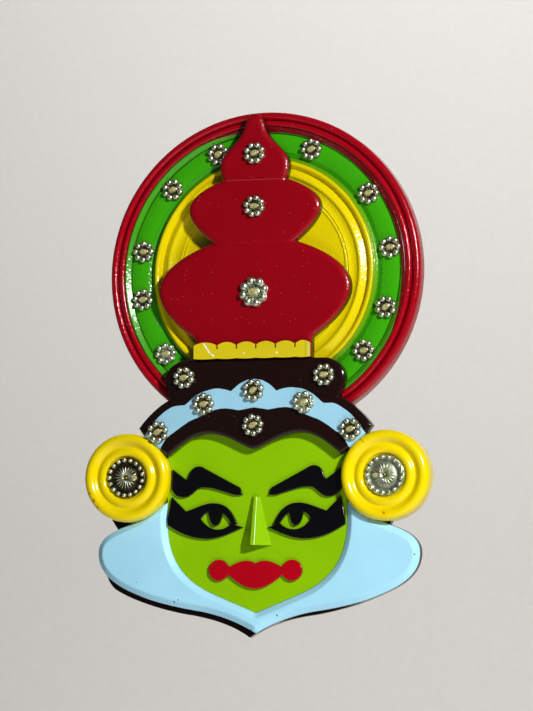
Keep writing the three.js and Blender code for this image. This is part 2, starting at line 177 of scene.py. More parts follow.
sheet = bmesh.new()
cove = interpolate_bezier(
    Vector((0, STAGE_BACK - COVE_RADIUS, FLOOR_Z)), Vector((0, STAGE_BACK - 0.45 * COVE_RADIUS, FLOOR_Z)),
    Vector((0, STAGE_BACK, FLOOR_Z + 0.45 * COVE_RADIUS)), Vector((0, STAGE_BACK, FLOOR_Z + COVE_RADIUS)),
    COVE_POINTS,
)
side_line = [Vector((0, STAGE_FRONT, FLOOR_Z)), *cove, Vector((0, STAGE_BACK, STAGE_TOP))]
corners = [sheet.verts.new(p - Vector((STAGE_HALF_WIDTH, 0, 0))) for p in side_line]
edges = [sheet.edges.new(pair) for pair in zip(corners, corners[1:])]
across = bmesh.ops.extrude_edge_only(sheet, edges=edges)
moved = [v for v in across["geom"] if isinstance(v, bmesh.types.BMVert)]
bmesh.ops.translate(sheet, verts=moved, vec=(2 * STAGE_HALF_WIDTH, 0, 0))
stage_mesh = bpy.data.meshes.new("stage")
sheet.to_mesh(stage_mesh)
sheet.free()
stage_mesh.shade_smooth()

paper, tree = blank_material("pale paper")
grain = node(tree, "TexNoise", {"Vector": node(tree, "TexCoord").outputs["Object"], "Scale": 60.0})
tint = node(tree, "Mix", {
    "Factor": grain.outputs["Fac"], "A": linear(226, 223, 218), "B": linear(232, 230, 226),
}, data_type="RGBA")
shader = node(tree, "BsdfPrincipled", {"Base Color": tint.outputs["Result"], "Roughness": 0.9})
close_material(tree, shader)

stage = bpy.data.objects.new("stage", stage_mesh)
stage.data.materials.append(paper)
bpy.context.scene.collection.objects.link(stage)
print(f"backdrop {STAGE_BACK:.1f} m behind the plaque")


# %% [markdown]
# The light is one fairly small lamp near by, on the right and a little above, which draws short crisp
# shadows to the lower left and long glints on the turned edges. A broad weak lamp from below opens the
# shadows and lifts the collar a little over the crown. It is hidden from glossy rays, because a black
# gloss panel would mirror it as a grey veil, and the surround is dim for the same reason. Two more lamps
# light the backdrop and the plaque's back, and they are hidden from glossy rays as well. Standard view
# colours are used, so the saturated enamels stay as strong as they are on the real plaque.

# %% Lights
def lamp(name, place, aim, width, watts, colour=(1, 1, 1), glossy=True):
    light = bpy.data.lights.new(name, "AREA")
    light.shape = "DISK"
    light.size = width
    light.energy = watts
    light.color = colour
    holder = bpy.data.objects.new(name, light)
    holder.location = place
    holder.rotation_mode = "QUATERNION"
    holder.rotation_quaternion = (Vector(place) - Vector(aim)).to_track_quat("Z", "Y")
    holder.visible_glossy = glossy
    bpy.context.scene.collection.objects.link(holder)
    return holder


lamp("key lamp", (1.42, -1.42, 0.58), (0, 0, -0.12), 0.2, 48.0, (1.0, 0.99, 0.96))
lamp("fill lamp", (0.62, -1.0, -0.95), (0, 0, -0.2), 0.6, 4.3, (0.95, 0.98, 1.0), glossy=False)
lamp("backdrop lamp", (-0.4, 1.2, 2.8), (-1.2, STAGE_BACK, 0.35), 2.5, 120.0, glossy=False)
lamp("back lamp", (-1.3, 2.2, 1.3), (0, 0, -0.08), 0.8, 30.0, glossy=False)

world = bpy.data.worlds.new("studio")
world.use_nodes = True
world.node_tree.nodes["Background"].inputs["Color"].default_value = (0.05, 0.052, 0.056, 1)
bpy.context.scene.world = world
bpy.context.scene.view_settings.view_transform = "Standard"


# %% [markdown]
# Gloss enamel is brushed or dipped over wood. It is never dead even: the colour varies a little in
# clouds, and dust dries into the film as tiny nibs. Soft clouds are noise stretched to a wanted range,
# and nibs are the middles of some cells of a Voronoi pattern.

# %% Clouds and dust
def clouds(tree, place, scale, low, high, detail=2.0):
    noise = node(tree, "TexNoise", {"Vector": place, "Scale": scale, "Detail": detail})
    return node(tree, "MapRange", {
        "Value": noise.outputs["Fac"], "From Min": 0.3, "From Max": 0.7, "To Min": low, "To Max": high,
    }).outputs["Result"]


def maths(tree, operation, first, second=0.0):
    return node(tree, "Math", {0: first, 1: second}, operation=operation).outputs[0]


def blend(tree, factor, first, second, mode="MIX"):
    return node(tree, "Mix", {"Factor": factor, "A": first, "B": second},
                data_type="RGBA", blend_type=mode).outputs["Result"]


def dust(tree, place, per_metre, radius, share):
    """A mask of round dust specks: a dot in the middle of some of the cells."""
    cells = node(tree, "TexVoronoi", {"Vector": place, "Scale": per_metre})
    dot = node(tree, "MapRange", {
        "Value": cells.outputs["Distance"], "From Min": radius, "From Max": 0.5 * radius,
    }).outputs["Result"]
    lot = node(tree, "SeparateColor", {"Color": cells.outputs["Color"]}).outputs["Red"]
    return maths(tree, "MULTIPLY", dot, maths(tree, "LESS_THAN", lot, share))


DUST_PER_METRE = 170.0
print(f"a speck of dust may lie in each cell of {1000 / DUST_PER_METRE:.1f} mm")


# %% [markdown]
# Brush hairs leave faint lines in the enamel, and orange peel breaks up its highlights. They are bumps
# too small to model, so the bump node tilts the light on them. One function makes this finish for any
# colour. The colour may also be a function that paints by place, because several pieces carry more than
# one colour.

# %% Enamel
def enamel(name, colour, roughness=0.16, peel=1.0, nibs=0.25, brushed=0.5, cloudiness=0.05, gloss=0.5,
           pits_per_metre=650.0):
    material, tree = blank_material(name)
    place = node(tree, "TexCoord").outputs["Object"]
    paint = colour(tree, place) if callable(colour) else colour
    shade = clouds(tree, place, 18.0, 1 - cloudiness, 1 + cloudiness)
    grey = node(tree, "CombineColor", {"Red": shade, "Green": shade, "Blue": shade}).outputs["Color"]
    paint = blend(tree, 1.0, paint, grey, "MULTIPLY")
    specks = dust(tree, place, DUST_PER_METRE, 0.09, nibs)
    paint = blend(tree, maths(tree, "MULTIPLY", specks, 0.1), paint, (0.8, 0.8, 0.8, 1))
    hairs = node(tree, "Mapping", {"Vector": place, "Scale": (30.0, 30.0, 900.0)})
    strokes = node(tree, "TexNoise", {"Vector": hairs.outputs["Vector"], "Scale": 1.0, "Detail": 1.0})
    pits = node(tree, "TexNoise", {"Vector": place, "Scale": pits_per_metre, "Detail": 1.0})
    height = maths(tree, "MULTIPLY", pits.outputs["Fac"], peel)
    height = maths(tree, "ADD", height, maths(tree, "MULTIPLY", strokes.outputs["Fac"], 0.5 * brushed))
    height = maths(tree, "ADD", height, maths(tree, "MULTIPLY", specks, 1.6))
    bump = node(tree, "Bump", {"Height": height, "Strength": 1.0, "Distance": 0.04 * MM})
    dull = clouds(tree, place, 60.0, 0.85 * roughness, 1.25 * roughness)
    shader = node(tree, "BsdfPrincipled", {
        "Base Color": paint, "Roughness": dull, "Normal": bump.outputs["Normal"], "IOR": 1.5,
        "Specular IOR Level": gloss,
    })
    close_material(tree, shader)
    return material


edge_brown = enamel("dark edge paint", linear(24, 9, 8), 0.3, peel=1.5)
dark_brown = enamel("dark brown enamel", linear(24, 9, 8), 0.14)
lime = enamel("lime green enamel", linear(138, 192, 0), 0.2, peel=0.7, nibs=0.1)
black = enamel("black enamel", linear(7, 7, 10), 0.18, peel=0.6, nibs=0.15)
lip_red = enamel("lip red enamel", linear(176, 0, 20), 0.2, peel=0.7)
lip_edge = enamel("dark grey edge paint", linear(44, 40, 44), 0.3, peel=1.5)
print("enamels:", len(bpy.data.materials))


# %% [markdown]
# A handmade piece has its flaws: a chip that shows dark wood, a smudge of a colour from the next piece, a
# scratch. Each is a spot or a line at a known place, softened and broken up by noise. Two functions
# give a mask from 1 in the mark to 0 outside it, with lengths in millimetres, and a third lays a list
# of marks over a colour. The same lists also carry a few painted highlights and a painted reflection.

# %% Paint flaws and painted marks
def ragged(tree, place, amount):
    noise = node(tree, "TexNoise", {"Vector": place, "Scale": 700.0, "Detail": 2.0})
    centred = node(tree, "VectorMath", {0: noise.outputs["Color"], 1: (0.5, 0.5, 0.5)},
                   operation="SUBTRACT")
    scaled = node(tree, "VectorMath", {0: centred.outputs["Vector"], "Scale": amount * MM},
                  operation="SCALE")
    flat = node(tree, "VectorMath", {0: scaled.outputs["Vector"], 1: place}, operation="ADD")
    return node(tree, "VectorMath", {0: flat.outputs["Vector"], 1: (1, 0, 1)}, operation="MULTIPLY")


def spot(tree, place, x, z, radius):
    middle = (x * MM, 0, z * MM)
    away = node(tree, "VectorMath", {0: ragged(tree, place, 1.6 * radius).outputs["Vector"], 1: middle},
                operation="DISTANCE").outputs["Value"]
    return node(tree, "MapRange", {
        "Value": away, "From Min": 1.15 * radius * MM, "From Max": 0.7 * radius * MM,
    }).outputs["Result"]


def streak(tree, place, start, end, width):
    """A straight line from one (x, z) to another."""
    (x0, z0), (x1, z1) = start, end
    length = hypot(x1 - x0, z1 - z0)
    turn = node(tree, "Mapping", {
        "Vector": ragged(tree, place, 2.0 * width).outputs["Vector"],
        "Location": (-0.5 * (x0 + x1) * MM, 0, -0.5 * (z0 + z1) * MM),
    })
    along = Vector(((x1 - x0) / length, 0, (z1 - z0) / length))
    across = Vector((-along.z, 0, along.x))
    reach = []
    for axis, half in ((along, 0.5 * length), (across, 0.5 * width)):
        run = node(tree, "VectorMath", {0: turn.outputs["Vector"], 1: axis}, operation="DOT_PRODUCT")
        run = maths(tree, "ABSOLUTE", run.outputs["Value"])
        reach.append(node(tree, "MapRange", {
            "Value": run, "From Min": (half + 0.15) * MM, "From Max": (half - 0.15) * MM,
        }).outputs["Result"])
    return maths(tree, "MULTIPLY", *reach)


def with_marks(base, flaws):
    """A colour function: the base, and over it each flaw or painted mark as (mask function, its arguments,
    colour).
    """
    def colour(tree, place):
        paint = base(tree, place) if callable(base) else base
        for mask, arguments, tint in flaws:
            paint = blend(tree, mask(tree, place, *arguments), paint, tint)
        return paint
    return colour


print("kinds of flaw:", spot.__name__, streak.__name__)


# %% [markdown]
# These are the flaws that can be seen from a step away, on the collar, the ears, the crown and the bead
# strip, together with a painted highlight and glint on the crown and a painted reflection on the left ear.
# A spot has its x, its z and its radius, and a streak its two ends and its width.

# %% The plaque's flaws, painted highlights and the enamels that carry them
CHIP = linear(70, 34, 30)
collar_flaws = [
    (spot, (-72.7, -283.9, 0.9), CHIP), (spot, (-68.7, -282.1, 0.6), CHIP),
    (spot, (20.0, -294.9, 0.8), CHIP), (spot, (-4.1, -307.4, 0.7), CHIP),
    (spot, (139.9, -243.4, 0.7), CHIP), (spot, (-106.9, -267.1, 0.6), linear(90, 120, 130)),
]
SMUDGE = linear(214, 120, 0)
ear_marks_and_reflection = [
    (spot, (-143.9, -196.9, 1.6), SMUDGE), (spot, (-148.6, -190.8, 1.2), SMUDGE),
    (spot, (-140.6, -202.6, 1.3), SMUDGE), (spot, (115.5, -208.6, 1.4), SMUDGE),
    # This pale line on the left ear's lower right is a painted reflection of the light blue collar in the
    # glossy yellow edge.
    (streak, ((-80.9, -200.9), (-93.6, -211.1), 1.0), linear(222, 214, 178)),
    (streak, ((94.5, -145.8), (98.4, -149.5), 0.7), linear(120, 96, 20)),
]
# On the crown, the light pink line along the joint under the finial is a painted highlight on its ridge,
# and the near white spot at its right end is a painted glint.
JOINT_HIGHLIGHT_PINK = linear(176, 60, 84)
crown_lines_and_highlights = [
    (streak, ((-27.1, 79.0), (28.4, 78.6), 0.35), JOINT_HIGHLIGHT_PINK),
    (spot, (25.9, 78.3, 0.8), linear(230, 200, 210)),
    (streak, ((-38.5, 24.4), (38.2, 24.7), 0.25), linear(168, 10, 34)),
]
bead_marks = [
    # Two white streaks cross the first bead, pale spots lie on two other beads, and two lines mark the
    # strip's right end.
    (streak, ((-44.8, -62.0), (-38.6, -71.0), 1.1), linear(250, 250, 246)),
    (streak, ((-37.9, -71.4), (-34.6, -73.8), 1.0), linear(250, 250, 246)),
    (streak, ((46.9, -62.6), (47.0, -76.0), 0.4), linear(130, 128, 30)),
    (streak, ((49.6, -63.0), (49.8, -76.4), 0.6), linear(196, 194, 184)),
    (spot, (-8.0, -71.5, 0.8), linear(240, 238, 200)), (spot, (21.6, -71.8, 1.0), linear(244, 242, 214)),
]
pale_blue = enamel("light blue enamel", with_marks(linear(166, 222, 246), collar_flaws), 0.3, peel=1.2,
                   nibs=0.2, gloss=0.22)
yellow = enamel("yellow enamel", with_marks(linear(232, 208, 0), ear_marks_and_reflection), 0.16, peel=0.8)
crimson = enamel("crimson enamel", with_marks(linear(142, 0, 16), crown_lines_and_highlights), 0.2, peel=6.0, nibs=0.6,
                 pits_per_metre=520.0)
ochre = enamel("ochre enamel", with_marks(linear(214, 196, 20), bead_marks), 0.34, peel=1.4, brushed=1.5,
               cloudiness=0.1)
print("flaws:", len(collar_flaws + ear_marks_and_reflection + crown_lines_and_highlights + bead_marks))


# %% [markdown]
# Behind, the boards are left plainer: sanded wood under a thin brown wash. Wood grain is stretched
# noise, long along the board and fine across it, with a second coarser noise for the growth rings.

# %% Bare wood
def wood(name, light, dark):
    material, tree = blank_material(name)
    place = node(tree, "TexCoord").outputs["Object"]
    drawn = node(tree, "Mapping", {"Vector": place, "Scale": (160.0, 160.0, 7.0)})
    fibres = node(tree, "TexNoise", {"Vector": drawn.outputs["Vector"], "Scale": 2.0, "Detail": 5.0})
    bent = node(tree, "Mapping", {"Vector": place, "Scale": (26.0, 26.0, 2.2)})
    rings = node(tree, "TexNoise", {"Vector": bent.outputs["Vector"], "Scale": 1.6, "Distortion": 0.8})
    figure = maths(tree, "FRACT", maths(tree, "MULTIPLY", rings.outputs["Fac"], 9.0))
    mixed = maths(tree, "ADD", maths(tree, "MULTIPLY", figure, 0.35),
                  maths(tree, "MULTIPLY", fibres.outputs["Fac"], 0.65))
    paint = blend(tree, mixed, light, dark)
    bump = node(tree, "Bump", {"Height": fibres.outputs["Fac"], "Strength": 0.6, "Distance": 0.15 * MM})
    shader = node(tree, "BsdfPrincipled", {
        "Base Color": paint, "Roughness": 0.62, "Normal": bump.outputs["Normal"],
    })
    close_material(tree, shader)
    return material


washed_wood = wood("brown washed wood", linear(122, 84, 54), linear(70, 44, 28))
print("back finish:", washed_wood.name)


# %% [markdown]
# Most pieces are cut-outs: an outline sawn from board. An outline is drawn with straight lines and
# Bezier curves, as in a drawing program. Places may be given in shares of the piece's half width and
# height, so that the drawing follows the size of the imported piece.

# %% Outlines
TINY = 0.01 * MM


def draw(at, start, *strokes, steps=12):
    """Points of an outline. A stroke is a corner (x, z) or a curve: two handles and its end."""
    def point(x, z):
        x, z = at(x, z)
        return Vector((x, 0, z))
    points = [point(*start)]
    for stroke in strokes:
        knots = [point(*stroke[i:i + 2]) for i in range(0, len(stroke), 2)]
        if len(knots) == 1:
            points += knots
        else:
            points += interpolate_bezier(points[-1], *knots, steps + 1)[1:]
    return points


def shares(half_width, height, top, middle=0.0):
    """Turns shares of a half width and a height into places, counted down from the top."""
    return lambda x, z: (middle + x * half_width, top + z * height)


tip = draw(shares(10 * MM, 20 * MM, 0.0), (0, 0), (1, 0, 1, 0.5, 0, 1))
print(f"a curve is drawn with {len(tip)} points and ends at {tip[-1].z / MM:.0f} mm")


# %% [markdown]
# Where both halves of an outline are alike, only the right half is drawn and mirrored. The outline
# becomes one face, which is extruded to the thickness of the board. Insetting that face a few times,
# each time a little less forwards, rolls the front edge over without a bevel's pinched corners. Faces
# are later sorted by the way they look, so that front, sawn edge and back can have their own finish.

# %% Raising a board
FRONT, EDGE, BACK = 0, 1, 2
LOOKS_BACK = 0.7
LOOKS_SIDEWAYS = 0.2


def fill(bm, loops, mirrored):
    for loop in loops:
        corners = [bm.verts.new(p) for p in loop]
        pairs = list(zip(corners, corners[1:]))
        if not mirrored:
            pairs.append((corners[-1], corners[0]))
        for pair in pairs:
            bm.edges.new(pair)
    if mirrored:
        bmesh.ops.mirror(bm, geom=bm.verts[:] + bm.edges[:], axis="X", merge_dist=TINY)
    if len(loops) == 1:
        bmesh.ops.contextual_create(bm, geom=bm.edges[:])
    else:
        bmesh.ops.triangle_fill(bm, edges=bm.edges[:], use_beauty=True)
    bm.normal_update()
    backwards = [f for f in bm.faces if f.normal.y > 0]
    bmesh.ops.reverse_faces(bm, faces=backwards)
    return bm.faces[:]


def rolled_edge(bm, faces, width, depth, rings):
    """Rolls the faces' rim over a quarter of an ellipse, and returns the faces of the roll."""
    made = []
    for i in range(rings):
        a, b = i * pi / 2 / rings, (i + 1) * pi / 2 / rings
        step = bmesh.ops.inset_region(
            bm, faces=faces, thickness=width * (cos(a) - cos(b)), depth=depth * (sin(b) - sin(a)),
            use_even_offset=True, use_boundary=True,
        )
        made += step["faces"]
    return made


def raise_board(bm, faces, back, front):
    bmesh.ops.translate(bm, verts=bm.verts, vec=(0, back, 0))
    grown = bmesh.ops.extrude_face_region(bm, geom=faces)["geom"]
    bmesh.ops.translate(bm, verts=[g for g in grown if isinstance(g, bmesh.types.BMVert)],
                        vec=(0, front - back, 0))
    bmesh.ops.recalc_face_normals(bm, faces=bm.faces)
    return [g for g in grown if isinstance(g, bmesh.types.BMFace)]


print(f"a sawn edge is what leans less than {LOOKS_SIDEWAYS:.1f} forwards or back")


# %% [markdown]
# The mesh then becomes an object with its finishes. Its curves are shaded smooth and its creases kept
# sharp, and weighted normals keep the large flat fronts flat beside their rolled rims.

# %% From outline to object
def to_object(name, bm, materials, sharp=40.0, sort_sides=True, weighted=True):
    bmesh.ops.recalc_face_normals(bm, faces=bm.faces)
    bm.normal_update()
    if sort_sides:
        for face in bm.faces:
            if face.normal.y > LOOKS_BACK:
                face.material_index = BACK
            elif abs(face.normal.y) < LOOKS_SIDEWAYS:
                face.material_index = EDGE
    mesh = bpy.data.meshes.new(name)
    bm.to_mesh(mesh)
    bm.free()
    piece = bpy.data.objects.new(name, mesh)
    bpy.context.scene.collection.objects.link(piece)
    for material in materials:
        mesh.materials.append(material)
    smooth(piece, sharp, weighted)
    return piece


def smooth(piece, sharp, weighted=True):
    piece.data.shade_smooth()
    piece.data.set_sharp_from_angle(angle=radians(sharp))
    if weighted and "soft normals" not in piece.modifiers:
        piece.modifiers.new("soft normals", "WEIGHTED_NORMAL").keep_sharp = True


def cut_out(name, loops, back, front, materials, roll=(0, 0), rings=5, mirrored=True, shift=0.0,
            sharp=40.0):
    bm = bmesh.new()
    faces = fill(bm, loops, mirrored)
    width, depth = roll
    faces = raise_board(bm, faces, back, front + depth)
    if depth:
        rolled_edge(bm, faces, width, depth, rings)
    bmesh.ops.translate(bm, verts=bm.verts, vec=(shift, 0, 0))
    return to_object(name, bm, materials, sharp)


print("sides of a board:", {"front": FRONT, "edge": EDGE, "back": BACK})


# %% [markdown]
# A few boards give way to a turned disc: the ears are let into the face, the collar and the brows. The
# cut is a Boolean modifier with a plain cutter, and its result is kept as the piece's own mesh, so that
# no cutter is left over. A cutter reaches well past the plaque in front and behind.

# %% Cutting away
CUTTER_FRONT = -60 * MM
CUTTER_BACK = 20 * MM


def bake(piece):
    graph = bpy.context.evaluated_depsgraph_get()
    mesh = bpy.data.meshes.new_from_object(piece.evaluated_get(graph))
    piece.modifiers.clear()
    piece.data = mesh


def cut_away(piece, cutters, sharp=40.0):
    piece.modifiers.clear()
    for cutter in cutters:
        cut = piece.modifiers.new("cut", "BOOLEAN")
        cut.operation = "DIFFERENCE"
        cut.solver = "EXACT"
        cut.object = cutter
    bake(piece)
    smooth(piece, sharp)
    return piece


def to_cutter(bm):
    mesh = bpy.data.meshes.new("cutter")
    bm.to_mesh(mesh)
    bm.free()
    cutter = bpy.data.objects.new("cutter", mesh)
    bpy.context.scene.collection.objects.link(cutter)
    return cutter


def disc_cutter(x, z, radius):
    bm = bmesh.new()
    place = Matrix.Translation((x, (CUTTER_FRONT + CUTTER_BACK) / 2, z)) @ Matrix.Rotation(pi / 2, 4, "X")
    bmesh.ops.create_cone(bm, cap_ends=True, segments=144, radius1=radius, radius2=radius,
                          depth=CUTTER_BACK - CUTTER_FRONT, matrix=place)
    return to_cutter(bm)


def clear_cutters():
    for cutter in [o for o in bpy.data.objects if o.name.startswith("cutter")]:
        bpy.data.objects.remove(cutter)


print(f"cutters run from {CUTTER_FRONT / MM:.0f} to {CUTTER_BACK / MM:.0f} mm")


# %% [markdown]
# Every finished piece rides on the plaque's one body and stands for the CAD piece whose place it takes,
# which is hidden. One helper does both and prints what was made.

# %% Handing a piece over
def hand_over(piece, cad_node):
    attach(piece, "root")
    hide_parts(cad_node)
    low, high = (Vector(piece.bound_box[0]), Vector(piece.bound_box[6]))
    span = (high - low) / MM
    print(f"{piece.name}: {span.x:.1f} x {span.y:.1f} x {span.z:.1f} mm, {len(piece.data.polygons)} faces")
    return piece


def middle_of(cad_node):
    low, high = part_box(cad_node)
    return (low + high) / 2


EAR_CENTRES = {side: middle_of(f"ear_medallion_{side}") for side in ("left", "right")}
EAR_RADIUS = EAR_CENTRES["left"].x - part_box("ear_disc_left")[0].x
GLUE_GAP = 0.3 * MM
print(f"ears at {EAR_CENTRES['right'].x / MM:.1f} mm from the middle, radius {EAR_RADIUS / MM:.1f} mm")


def ear_cutters():
    return [disc_cutter(c.x, c.z, EAR_RADIUS + GLUE_GAP) for c in EAR_CENTRES.values()]


# %% [markdown]
# The halo is a disc turned on a lathe, so it is a spun profile. From the rim inwards: two beads, a step
# down to a slightly crowned band that carries the ring of stones, one more bead, a small step, a wide
# cove and two fine scored lines round the plain middle. The profile is drawn as curves, with the radius
# across and the height above the wall up.

# %% Halo: shape
HALO_STEPS = 240
HALO_SHARP = 38.0
halo_low, halo_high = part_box("halo_disc")
halo_x = (halo_low.x + halo_high.x) / 2
halo_radius = (halo_high.x - halo_low.x) / 2


def spun(bm, profile, x, z, steps):
    """Turns a profile of (radius, height above the wall) into a closed disc about the Y axis."""
    corners = [bm.verts.new((x + p.x, -p.z, z)) for p in profile]
    line = [bm.edges.new(pair) for pair in zip(corners, corners[1:])]
    bmesh.ops.spin(bm, geom=corners + line, cent=(x, 0, z), axis=(0, 1, 0), angle=2 * pi, steps=steps,
                   use_merge=True)
    bmesh.ops.remove_doubles(bm, verts=bm.verts, dist=0.1 * TINY)


def in_mm(radius, height):
    return radius * MM, height * MM


halo_profile = draw(
    in_mm, (0, 0), (138.6, 0), (140, 1.4), (140, 9.6),
    (140, 14.2, 138.8, 16.2, 136.4, 16.2), (134.6, 16.2, 133.4, 14.6, 132.6, 12.8),
    (132, 14.8, 131.2, 16.2, 129.6, 16.2), (128, 16.2, 127.1, 15.2, 126.7, 13.9),
    (126.3, 14.7, 125.9, 14.8, 125.3, 14.4), (124.6, 13.9), (121.9, 12.1),
    (121.6, 10.6, 121.2, 10.6, 120.9, 11.3),
    (119, 11.6, 117, 12.1, 114, 12.1), (106, 12.1), (105.6, 11.9), (102.5, 10.1),
    (102.2, 10.1, 101.9, 11.9, 101.3, 12), (100.9, 12, 100.7, 12.2, 100.3, 12.9),
    (99.2, 13.6), (99, 15.2, 98.4, 16.1, 97, 16.1), (95.2, 16.1, 94.2, 14.4, 93.6, 12.1),
    (92.8, 11.4), (88, 14.6), (87, 15.2, 85.6, 15.1, 84.7, 13.7),
    (84.2, 13.1, 82, 12.4, 80.3, 12.4), (78.8, 12.4, 77.4, 12.7, 76.4, 13.1),
    (75.9, 12.1, 75.4, 12.1, 74.9, 12.5), (73.6, 12.5), (73.1, 11.9, 72.5, 11.6, 71.6, 11.6), (0, 11.6),
    steps=6,
)
print(f"halo radius {halo_radius / MM:.1f} mm, {len(halo_profile)} points on its profile")


# %% [markdown]
# The halo's colours are rings: red over the two rim beads, grass green on the band and yellow inside.
# They were painted while it turned, so the radius in millimetres alone says which colour is where. A
# little noise on the radius gives the hand-held brush, and a dull olive line shows where yellow was
# lapped over green. The dark rings in the three grooves and the darker green along the cove are painted
# shade in those hollows.
# On the upper right, the little wall beside the green band is dark red, thinning out at both ends of
# that stretch. This is red paint run down the wall, darkened as painted shade where the wall faces away
# from the lamp.

# %% Halo: paint
# The darker stops at 102.6 and 105.4 mm along the cove, and at 121.6, 126.8 and 132.6 mm in the grooves,
# are painted shade.
RINGS_WITH_GROOVE_SHADE = (
    (0.0, linear(222, 202, 0)),
    (98.2, linear(222, 202, 0)),
    (98.8, linear(120, 150, 4)),
    (101.2, linear(84, 152, 6)),
    (102.6, linear(40, 132, 6)),
    (103.4, linear(56, 162, 8)),
    (105.4, linear(44, 140, 8)),
    (106.2, linear(56, 162, 8)),
    (120.8, linear(56, 162, 8)),
    (121.6, linear(20, 50, 6)),
    (122.4, linear(60, 152, 16)),
    (126.3, linear(66, 150, 30)),
    (126.8, linear(60, 0, 10)),
    (127.5, linear(156, 0, 20)),
    (132.0, linear(156, 0, 20)),
    (132.6, linear(70, 0, 10)),
    (133.2, linear(156, 0, 20)),
)
BRUSH_WOBBLE = 0.25 * MM
# Where the dark red covers the wall: red paint run down it, darkened as painted shade on the side away from
# the lamp.
SHADED_RED_WALL = {"inner": 122.3, "outer": 126.7, "toward": 46.0, "half_angle": 58.0, "thins_over": 14.0}


def ring_colours_and_shade(tree, place):
    centred = node(tree, "Mapping", {"Vector": place, "Location": (-halo_x, 0, 0), "Scale": (1, 0, 1)})
    radius = node(tree, "VectorMath", {0: centred.outputs["Vector"]}, operation="LENGTH").outputs["Value"]
    wobble = clouds(tree, place, 40.0, -BRUSH_WOBBLE, BRUSH_WOBBLE)
    radius = maths(tree, "ADD", radius, wobble)
    share = maths(tree, "DIVIDE", radius, halo_radius)
    ramp = node(tree, "ValToRGB", {"Fac": share})
    stops = ramp.color_ramp.elements
    while len(stops) < len(RINGS_WITH_GROOVE_SHADE):
        stops.new(1.0)
    for stop, (ring_radius, colour) in zip(stops, RINGS_WITH_GROOVE_SHADE):
        stop.position = ring_radius * MM / halo_radius
        stop.color = colour
    outward = node(tree, "VectorMath", {0: centred.outputs["Vector"]}, operation="NORMALIZE")
    toward = radians(SHADED_RED_WALL["toward"])
    facing = node(tree, "VectorMath", {
        0: outward.outputs["Vector"], 1: (cos(toward), 0, sin(toward)),
    }, operation="DOT_PRODUCT")
    breadth = node(tree, "MapRange", {
        "Value": facing.outputs["Value"], "To Max": (SHADED_RED_WALL["outer"] - SHADED_RED_WALL["inner"]) * MM,
        "From Min": cos(radians(SHADED_RED_WALL["half_angle"] + SHADED_RED_WALL["thins_over"])),
        "From Max": cos(radians(SHADED_RED_WALL["half_angle"] - SHADED_RED_WALL["thins_over"])),
    }).outputs["Result"]
    inner = maths(tree, "SUBTRACT", SHADED_RED_WALL["outer"] * MM, breadth)
    on_wall = maths(tree, "MULTIPLY", maths(tree, "GREATER_THAN", radius, inner),
                    maths(tree, "LESS_THAN", radius, SHADED_RED_WALL["outer"] * MM))
    # The wall's colour: red paint, darkened as painted shade.
    shaded_red = blend(tree, clouds(tree, place, 300.0, 0.0, 1.0), linear(92, 4, 14), linear(132, 0, 22))
    return blend(tree, on_wall, ramp.outputs["Color"], shaded_red)


halo_paint = enamel("halo enamel", ring_colours_and_shade, 0.17, peel=7.5, nibs=0.6, pits_per_metre=480.0)
bm = bmesh.new()
spun(bm, halo_profile, halo_x, 0.0, HALO_STEPS)
halo = to_object("turned_halo", bm, [halo_paint, halo_paint, washed_wood], HALO_SHARP,
                 weighted=False)
hand_over(halo, "halo_disc")


# %% [markdown]
# The ear discs are turned too, thicker and smaller: an outer roll, a groove, an inner ring and a recess
# that takes a large moulded stone. The straight end of the headband is let into each of them.

# %% Ear discs: shape
ear_low, ear_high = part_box("ear_disc_left")
EAR_BACK = -ear_high.y
EAR_DEPTH = ear_high.y - ear_low.y
RECESS = 18.6 * MM / EAR_RADIUS
EAR_SHARP = 50.0
EAR_STEPS = 144


def ear_profile(radius, height):
    return radius * EAR_RADIUS, EAR_BACK + height * EAR_DEPTH


ear_line = draw(
    ear_profile, (0, 0), (0.97, 0), (1, 0.06), (1, 0.66),
    (1, 0.86, 0.945, 1, 0.865, 1), (0.79, 1, 0.745, 0.84, 0.7, 0.82),
    (0.665, 0.81, 0.64, 0.93, 0.575, 0.93), (0.53, 0.93, 0.5, 0.89, RECESS, 0.82),
    (RECESS, 0.744), (0, 0.744), steps=10,
)
print(f"ear disc {2 * EAR_RADIUS / MM:.1f} mm across, {EAR_DEPTH / MM:.1f} mm thick")


# %% [markdown]
# The headband's outline is needed twice: for the headband itself, and a little larger as the cutter that
# lets its ends into the ears. It is drawn in shares of its half width and height.

# %% Headband outline and ear discs
band_low, band_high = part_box("headband_plate")
BAND_HALF = band_high.x
BAND_TOP = band_high.z
BAND_HEIGHT = band_high.z - band_low.z


def headband_line(grow=0.0):
    low = grow / BAND_HEIGHT
    return draw(
        shares(BAND_HALF + grow, BAND_HEIGHT, BAND_TOP + grow), (0, 0), (0.594, 0),
        (0.67, 0, 0.762, -0.07, 0.771, -0.185), (0.776, -0.276, 0.738, -0.337, 0.726, -0.408),
        (0.805, -0.446, 0.929, -0.58, 1, -0.708), (0.958, -0.785), (0.818, -0.933 - low), (0.738, -1),
        (0.632, -0.897, 0.527, -0.774, 0.393, -0.774), (0.259, -0.774, 0.15, -0.871, 0.055, -0.921),
        (0.035, -0.932, 0.018, -0.94, 0, -0.94),
    )


def headband_cutter():
    bm = bmesh.new()
    faces = fill(bm, [headband_line(2 * GLUE_GAP)], True)
    raise_board(bm, faces, band_high.y + GLUE_GAP, CUTTER_FRONT)
    return to_cutter(bm)


